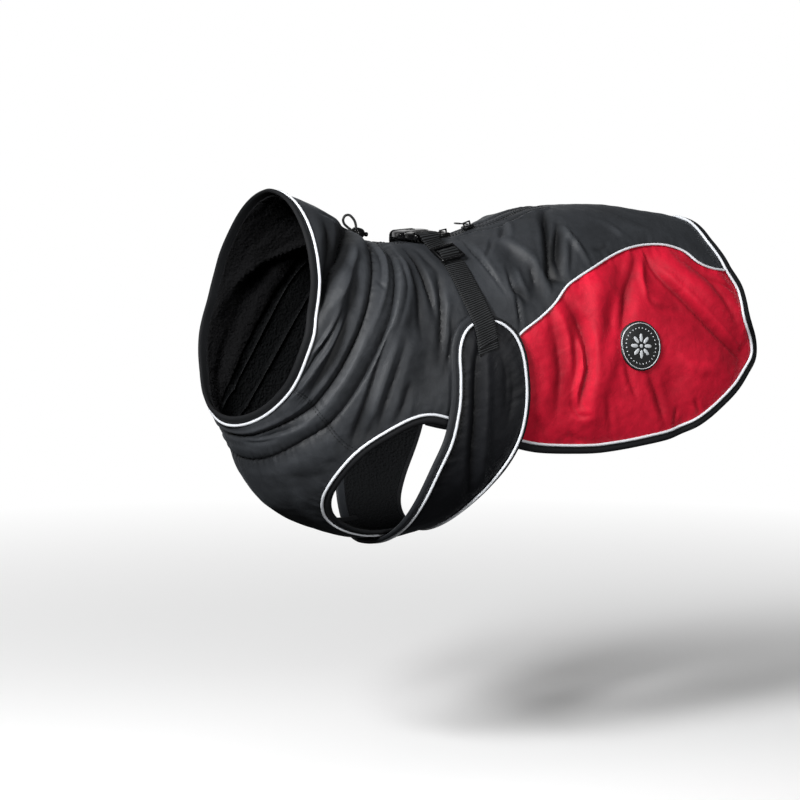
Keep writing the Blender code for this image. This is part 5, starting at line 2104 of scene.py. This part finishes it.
@dataclass
class Drawcord:
    """The cord's loop above the neck band, and the barrel lock that grips it."""

    lock_at: tuple[float, float, float] = (-42.4, 0.0, 12.2)
    lock_pitch: float = 11.0
    lock_radius: float = 4.8
    lock_length: float = 11.5
    cord_radius: float = 1.15
    loop: tuple[tuple[float, float, float], ...] = (
        (-46.2, -1.7, 13.6),
        (-45.2, -1.9, 17.6),
        (-46.4, -1.4, 23.2),
        (-50.4, -0.2, 28.0),
        (-54.4, 0.9, 27.8),
        (-56.2, 1.6, 24.0),
        (-54.6, 2.0, 20.2),
        (-51.0, 2.0, 17.0),
        (-46.6, 1.7, 13.8),
    )

    def build(self) -> None:
        """Builds the lock and the loop."""
        lock = self.lock()
        self.cord()

    def lock(self) -> Piece:
        """The barrel with its grooves, and the plunger that stands out of it."""
        barrel = (
            (-0.50, 0.50), (-0.485, 0.62), (-0.42, 0.86), (-0.34, 0.95), (-0.30, 0.93), (-0.27, 0.89),
            (-0.24, 0.96), (-0.16, 1.0), (0.10, 0.99), (0.20, 0.96), (0.24, 0.90), (0.27, 0.93),
            (0.34, 0.86), (0.42, 0.76), (0.485, 0.58), (0.50, 0.48), (0.50, 0.38), (0.54, 0.37),
            (0.66, 0.37), (0.68, 0.42), (0.78, 0.42), (0.83, 0.36), (0.85, 0.22),
        )
        angles = np.arange(28) * 2 * math.pi / 28
        rings = [
            np.column_stack(
                [
                    np.full(28, self.lock_length * reach),
                    np.cos(angles) * self.lock_radius * radius,
                    np.sin(angles) * self.lock_radius * radius,
                ]
            )
            for reach, radius in barrel
        ]
        piece = tube("cord_lock", np.array(rings) * MM, angle=40)
        eye = block("eye", (3.2, 12, 3.2), (-3.6, 0, 0), 0.6)
        combine(piece, [eye], "DIFFERENCE")
        turn = Matrix.Rotation(math.radians(self.lock_pitch), 4, "Y")
        return set_down(piece, Matrix.Translation(Vector(self.lock_at) * MM) @ turn, PLASTIC, "cord_lock", 40)

    def cord(self) -> None:
        """The loop of elastic cord, out of the lock and back into it."""
        knots = np.array(self.loop)
        line = spaced_in_space(knots, 48)
        ahead = unit(np.gradient(line, axis=0))
        across = unit(np.cross(ahead, (0.15, 1.0, 0.1)))
        rings = line[:, None] + rims(across, np.cross(ahead, across), 14) * self.cord_radius
        piece = tube("drawcord_loop", rings * MM, angle=70)
        dress(piece, CORD, "drawcord_loop")


@dataclass
class FlankPatch:
    """A round rubber patch on a red panel, with a plain rosette inside a ring of dots."""

    side: Side
    at: Station = (351, 79.5)
    radius: float = 22.5
    lift: float = 3.3
    wall: float = 1.4
    petals: int = 8
    dots: int = 28

    def __post_init__(self) -> None:
        """Works out how many millimetres one step of each station's number is there."""
        centre = np.array(self.at, float)
        here = FIGURE.point(centre)
        self.per_along = np.linalg.norm(FIGURE.point(centre + (1, 0)) - here)
        self.per_around = np.linalg.norm(FIGURE.point(centre + (0, 1)) - here)

    def build(self) -> None:
        """Builds the disc and its raised motif."""
        name = f"patch_{self.side.word}"
        disc = self.disc(name, 0, 0, self.radius, self.radius, 0, 40, self.lift, self.wall, 0.5)
        dress(disc, PATCH_BLACK, name)
        top = self.lift + self.wall - 0.3
        motif = [self.ring(self.radius - 1.9, 0.42, top + 0.3)]
        for n in range(self.petals):
            angle = 2 * math.pi * n / self.petals
            x, y = 7.4 * math.cos(angle), 7.4 * math.sin(angle)
            motif.append(self.disc("petal", x, y, 4.3, 1.9, angle, 8, top, 0.75, 0.9))
        motif.append(self.disc("eye", 0, 0, 1.9, 1.9, 0, 8, top, 0.8, 0.9))
        for n in range(self.dots):
            angle = 2 * math.pi * (n + 0.5) / self.dots
            x, y = 16.2 * math.cos(angle), 16.2 * math.sin(angle)
            motif.append(self.disc("dot", x, y, 0.8, 0.8, 0, 4, top, 0.65, 0.9))
        dress(join(f"patch_motif_{self.side.word}", motif), PATCH_PALE)

    def points(self, x: Array, y: Array, lift: Array | float) -> Array:
        """Points over the patch, from millimetres tailwards and round, in metres."""
        stations = np.stack([self.at[0] + x / self.per_along, self.at[1] + y / self.per_around], -1)
        return FIGURE.cloth(self.side.of(stations), lift)

    def disc(
        self, name: str, x: float, y: float, length: float, width: float, angle: float, cells: int,
        lift: float, wall: float, dome: float,
    ) -> Piece:
        """A raised oval with a rounded rim, drawn out from a square grid.

        Args:
            name: The piece's name.
            x: Centre, tailwards.
            y: Centre, round.
            length: Half length.
            width: Half width.
            angle: Its turn in radians.
            cells: Cells across the grid.
            lift: Height of its base off the cloth's inner face.
            wall: Its thickness at the middle.
            dome: How much the rim is rounded down, as a share of the wall.

        Returns:
            The piece.
        """
        u, v = np.meshgrid(np.linspace(-1, 1, cells + 1), np.linspace(-1, 1, cells + 1), indexing="ij")
        p, q = u * np.sqrt(1 - v**2 / 2), v * np.sqrt(1 - u**2 / 2)
        away = np.clip(p**2 + q**2, 0, 1)
        p, q = p * length, q * width
        px = x + p * math.cos(angle) - q * math.sin(angle)
        py = y + p * math.sin(angle) + q * math.cos(angle)
        height = wall * (1 - dome * away ** (3 if cells < 20 else 24))
        outer = self.points(px, py, lift + height)
        return slab(name, outer, self.points(px, py, lift), np.stack([px, py], -1))

    def ring(self, radius: float, thick: float, lift: float) -> Piece:
        """A thin raised ring.

        Args:
            radius: Of the ring.
            thick: Half its thickness.
            lift: Height of its middle off the cloth's inner face.

        Returns:
            The ring.
        """
        angles = np.linspace(0, 2 * math.pi, 97)
        section = np.arange(6) * 2 * math.pi / 6
        reach = radius + thick * np.cos(section)[None]
        x, y = reach * np.cos(angles)[:, None], reach * np.sin(angles)[:, None]
        rings = self.points(x, y, lift + thick * np.sin(section)[None])
        return tube("ring", rings)


# ---------------------------------------------------------------- studio


@dataclass
class Studio:
    """A pale floor, soft light and the camera."""

    azimuth: float = -28.0
    elevation: float = 7.5
    distance: float = 2.8
    mm_per_pixel: float = 0.9
    target: tuple[float, float, float] = (0.0, 0.0, -0.14)
    dim_below: float = 0.02
    bright_above: float = 0.08

    def build(self) -> None:
        """Builds the camera, lights, floor and world."""
        self.camera()
        self.lights()
        self.floor()
        bpy.context.scene.view_settings.view_transform = "Standard"

    def camera(self) -> None:
        """The photograph's view, 800 pixels wide."""
        az, el = math.radians(self.azimuth), math.radians(self.elevation)
        back = Vector((math.sin(az) * math.cos(el), -math.cos(az) * math.cos(el), math.sin(el)))
        data = bpy.data.cameras.new("camera")
        data.sensor_width = 36.0
        data.lens = 36.0 * self.distance / (self.mm_per_pixel * MM * 800)
        camera = bpy.data.objects.new("camera", data)
        bpy.context.scene.collection.objects.link(camera)
        camera.location = Vector(self.target) + back * self.distance
        camera.rotation_euler = back.to_track_quat("Z", "Y").to_euler()
        bpy.context.scene.camera = camera

    def light(self, name: str, place: Sequence[float], size: float, power: float) -> None:
        """A square soft light that faces the coat.

        Args:
            name: The lamp's name.
            place: Where it stands, in metres.
            size: The length of its side.
            power: In watts.
        """
        data = bpy.data.lights.new(name, "AREA")
        data.shape = "SQUARE"
        data.size = size
        data.energy = power
        lamp = bpy.data.objects.new(name, data)
        bpy.context.scene.collection.objects.link(lamp)
        lamp.location = place
        lamp.rotation_euler = (Vector(place) - Vector((0.05, 0, -0.1))).to_track_quat("Z", "Y").to_euler()

    def lights(self) -> None:
        """A large key light from the upper front left, a weaker fill and a top light."""
        self.light("key", (-1.45, -0.85, 0.95), 0.55, 66)
        self.light("fill", (0.2, -2.5, 0.3), 1.0, 28)
        self.light("top", (-0.5, -0.4, 2.0), 0.8, 3)
        self.light("backdrop", (0.2, 2.2, 0.5), 2.6, 16)
        world = bpy.data.worlds.new("studio")
        world.use_nodes = True
        tree = world.node_tree
        tree.nodes.clear()
        height = add_node(tree, "SeparateXYZ", {}, Vector=(add_node(tree, "TexCoord"), "Generated"))
        ends = {"From Min": -0.5, "From Max": 1.0, "To Min": self.dim_below, "To Max": self.bright_above}
        glow = add_node(tree, "MapRange", ends, Value=(height, "Z"))
        room = add_node(tree, "Background", {"Color": (1, 1, 1, 1)}, Strength=(glow, "Result"))
        paper = add_node(tree, "Background", {"Color": (1, 1, 1, 1), "Strength": 1.0})
        seen = (add_node(tree, "LightPath"), "Is Camera Ray")
        add_node(tree, "OutputWorld", Surface=add_node(tree, "MixShader", Fac=seen, i1=room, i2=paper))
        bpy.context.scene.world = world

    def floor(self) -> None:
        """A pale round floor that fades into the bright surroundings."""
        select_nothing()
        bpy.ops.mesh.primitive_circle_add(vertices=96, radius=6.0, fill_type="NGON", location=(0, 0, FLOOR))
        floor = bpy.context.object
        floor.name = "floor"
        made = bare("floor_paper")
        tree = made.node_tree
        paper = add_node(tree, "BsdfPrincipled", {"Base Color": (0.93, 0.93, 0.93, 1.0), "Roughness": 0.9})
        glow = add_node(tree, "Emission", {"Color": (1, 1, 1, 1), "Strength": 1.0})
        place = (add_node(tree, "TexCoord"), "Object")
        reach = add_node(tree, "VectorMath", {"operation": "LENGTH"}, i0=place)
        fade = add_node(tree, "MapRange", {"From Min": 0.5, "From Max": 1.6}, Value=(reach, "Value"))
        add_node(tree, "OutputMaterial", Surface=add_node(tree, "MixShader", Fac=fade, i1=paper, i2=glow))
        floor.data.materials.append(made)
        floor.visible_diffuse = floor.visible_glossy = False


def main() -> None:
    """Builds the studio and every piece of the coat, in order."""
    logging.basicConfig(level=logging.INFO, format="%(name)s: %(message)s")
    Studio().build()
    Drawcord().build()
    cut = CoatCut()
    Collar(cut).build()
    Trunk(cut).build()
    BellyBand(cut).build()
    Straps().build()
    BackZip().build()
    for side in Side:
        FlankPatch(side).build()


if __name__ == "__main__":
    main()
